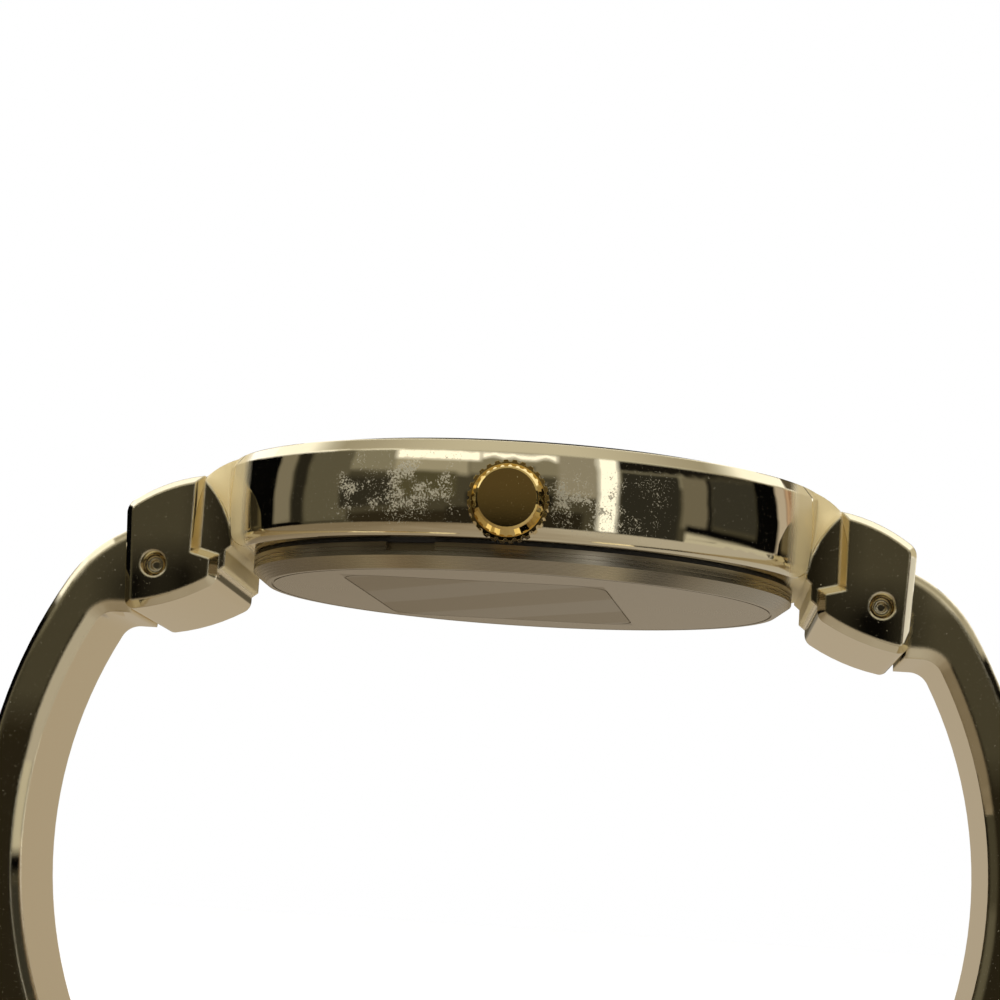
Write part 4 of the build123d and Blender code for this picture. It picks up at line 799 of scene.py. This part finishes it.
def reflected_only(name, shape, material):
    mesh = bpy.data.meshes.new(name)
    shape.to_mesh(mesh)
    shape.free()
    mesh.materials.append(material)
    card = bpy.data.objects.new(name, mesh)
    card.visible_camera = False
    card.visible_diffuse = False
    card.visible_shadow = False
    card.visible_transmission = False
    bpy.context.scene.collection.objects.link(card)
    return card


print("wall in mm:", WALL_RADIUS, "from", round(WALL_BOTTOM, 1), "to", WALL_TOP)


# %% [markdown]
# ## The wall of cards
# A little noise bends the cards' edges, because a real room isn't made of straight lines.
# A window is brighter than paper, so the whitest cards glow more than their colour says.

# %% The wall of cards
CARD_EDGE_ANGLE = 1.0
CARD_EDGE_HEIGHT = 2.6
EDGE_WANDER_ANGLE = 3.0
EDGE_WANDER_HEIGHT = 3.5
EDGE_WANDER_SIZE = 45.0
WINDOW_LEVEL = 1.45
WINDOW_RED = (0.85, 0.95)
ROOM_BACK = "#B4A792"


def card_wall():
    material, tree, surface, place = new_material("cards round the watch, paper")
    bend = add(tree, "ShaderNodeTexNoise", Vector=place, Scale=1 / (EDGE_WANDER_SIZE * MM), Detail=1.5)
    shift = add(tree, "ShaderNodeSeparateXYZ", Vector=bend.outputs["Color"])
    parts = add(tree, "ShaderNodeSeparateXYZ", Vector=place)
    turn = azimuth_of(tree, parts)
    wander = add(tree, "ShaderNodeMapRange", Value=shift.outputs["X"],
                 i3=-radians(EDGE_WANDER_ANGLE) / 2, i4=radians(EDGE_WANDER_ANGLE) / 2)
    azimuth = add(tree, "ShaderNodeMath", {"operation": "ADD"}, i0=turn.outputs[0], i1=wander.outputs[0])
    sway = add(tree, "ShaderNodeMapRange", Value=shift.outputs["Y"],
               i3=-EDGE_WANDER_HEIGHT * MM / 2, i4=EDGE_WANDER_HEIGHT * MM / 2)
    height = add(tree, "ShaderNodeMath", {"operation": "ADD"}, i0=parts.outputs["Z"], i1=sway.outputs[0])
    colour = None
    for start, stop, bottom, top, hex_colour in CARDS:
        inside = window(
            tree,
            (azimuth.outputs[0], radians(CARD_EDGE_ANGLE), radians(start), radians(stop)),
            (height.outputs[0], CARD_EDGE_HEIGHT * MM, bottom * MM, top * MM))
        under = linear(ROOM_BACK) if colour is None else colour.outputs[2]
        colour = add(tree, "ShaderNodeMix", {"data_type": "RGBA"},
                     i0=inside.outputs[0], i6=under, i7=linear(hex_colour))
    tone = add(tree, "ShaderNodeSeparateColor", Color=colour.outputs[2])
    level = add(tree, "ShaderNodeMapRange", Value=tone.outputs["Red"],
                i1=WINDOW_RED[0], i2=WINDOW_RED[1], i3=1.0, i4=WINDOW_LEVEL)
    glow = add(tree, "ShaderNodeEmission", Color=colour.outputs[2], Strength=level.outputs[0])
    tree.links.new(glow.outputs[0], surface)
    return reflected_only("card_wall", round_wall(WALL_RADIUS, WALL_BOTTOM, WALL_TOP), material)


wall = card_wall()
print("wall:", wall.name, "with nodes:", len(wall.data.materials[0].node_tree.nodes))


# %% [markdown]
# ## Paper above and cloth round the watch
# A sheet of paper closes the room above, brighter towards the back and the left, where windows are.
# A dull cloth lies between the tips and the floor. It tones down what looks downwards,
# more on the left than on the right.

# %% Paper above and cloth round the watch
CLOTH_HEIGHT = cad_low.z / MM - FLOOR_GAP / 2
PAPER_TONES = ((0.2, "#CAC8BC"), (0.42, "#D3CFC2"), (0.51, "#B5B0A2"), (0.57, "#ACA797"), (0.66, "#F4F4F0"))
PAPER_BRIGHT = (0.6, 0.68)
LEFT_WINDOW = (-115, -135)
CLOTH_TONES = ((0.2, "#857A6A"), (0.4, "#9A8F80"), (0.75, "#BDB8B0"))
CLOTH_REACH = 60
CLOTH_SLOPE = 0.7
FOLD_SIZE = 18
FOLD_SHARE = 0.4


def paper_above():
    material, tree, surface, place = new_material("paper above the watch")
    parts = add(tree, "ShaderNodeSeparateXYZ", Vector=place)
    depth = add(tree, "ShaderNodeMapRange", Value=parts.outputs["Y"],
                i1=-WALL_RADIUS * MM, i2=WALL_RADIUS * MM)
    left = add(tree, "ShaderNodeMapRange", Value=parts.outputs["X"],
               i1=LEFT_WINDOW[0] * MM, i2=LEFT_WINDOW[1] * MM)
    depth = add(tree, "ShaderNodeMath", {"operation": "MAXIMUM"}, i0=depth.outputs[0], i1=left.outputs[0])
    colour = add(tree, "ShaderNodeValToRGB", i0=depth.outputs[0], stops=PAPER_TONES)
    level = add(tree, "ShaderNodeMapRange", Value=depth.outputs[0],
                i1=PAPER_BRIGHT[0], i2=PAPER_BRIGHT[1], i3=1.0, i4=WINDOW_LEVEL)
    glow = add(tree, "ShaderNodeEmission", Color=colour.outputs[0], Strength=level.outputs[0])
    tree.links.new(glow.outputs[0], surface)
    return reflected_only("paper_above", round_sheet(WALL_TOP), material)


def cloth_below():
    material, tree, surface, place = new_material("dull cloth below the watch")
    folds = add(tree, "ShaderNodeTexNoise", Vector=place, Scale=1 / (FOLD_SIZE * MM), Detail=3.0)
    parts = add(tree, "ShaderNodeSeparateXYZ", Vector=place)
    side = add(tree, "ShaderNodeMapRange", Value=parts.outputs["X"],
               i1=-CLOTH_REACH * MM, i2=CLOTH_REACH * MM, i4=CLOTH_SLOPE)
    level = add(tree, "ShaderNodeMath", {"operation": "MULTIPLY_ADD"},
                i0=folds.outputs["Fac"], i1=FOLD_SHARE, i2=side.outputs[0])
    colour = add(tree, "ShaderNodeValToRGB", i0=level.outputs[0], stops=CLOTH_TONES)
    glow = add(tree, "ShaderNodeEmission", Color=colour.outputs[0], Strength=1.0)
    tree.links.new(glow.outputs[0], surface)
    return reflected_only("cloth_below", round_sheet(CLOTH_HEIGHT), material)


paper = paper_above()
cloth = cloth_below()
print("paper and cloth:", paper.name, cloth.name)


# %% [markdown]
# ## Light
# The world is white paper all round, and one wide soft lamp above gives the shadow its direction.
# The world lights the object at a plain level and is white, at strength 1, where it is seen.
# The metal doesn't mirror the lamp, because the cards already say what it mirrors.

# %% Light
# Power in watts, width and place in metres
WORLD_LEVEL = 0.62
LAMP_POWER = 2.2
LAMP_WIDTH = 0.5
LAMP_PLACE = (-0.15, -0.25, 0.5)


def studio_light():
    world = bpy.data.worlds.new("white studio")
    bpy.context.scene.world = world
    world.use_nodes = True
    tree = world.node_tree
    tree.nodes.clear()
    soft = add(tree, "ShaderNodeBackground", Color=linear("#FFFFFF"), Strength=WORLD_LEVEL)
    paper_white = add(tree, "ShaderNodeBackground", Color=linear("#FFFFFF"), Strength=1.0)
    mix = add(tree, "ShaderNodeMixShader", i0=seen_rays(tree), i1=soft.outputs[0], i2=paper_white.outputs[0])
    add(tree, "ShaderNodeOutputWorld", i0=mix.outputs[0])
    data = bpy.data.lights.new("softbox_above", "AREA")
    data.shape = "DISK"
    data.size = LAMP_WIDTH
    data.energy = LAMP_POWER
    lamp = bpy.data.objects.new("softbox_above", data)
    lamp.location = LAMP_PLACE
    lamp.rotation_euler = (-lamp.location).to_track_quat("-Z", "Y").to_euler()
    lamp.visible_glossy = False
    bpy.context.scene.collection.objects.link(lamp)
    return lamp


lamp = studio_light()
bpy.context.scene.view_settings.view_transform = "Standard"
print("lamp power in W:", lamp.data.energy)


# %% [markdown]
# ## Last cell
# It only imports json.

# %% Load json
import json
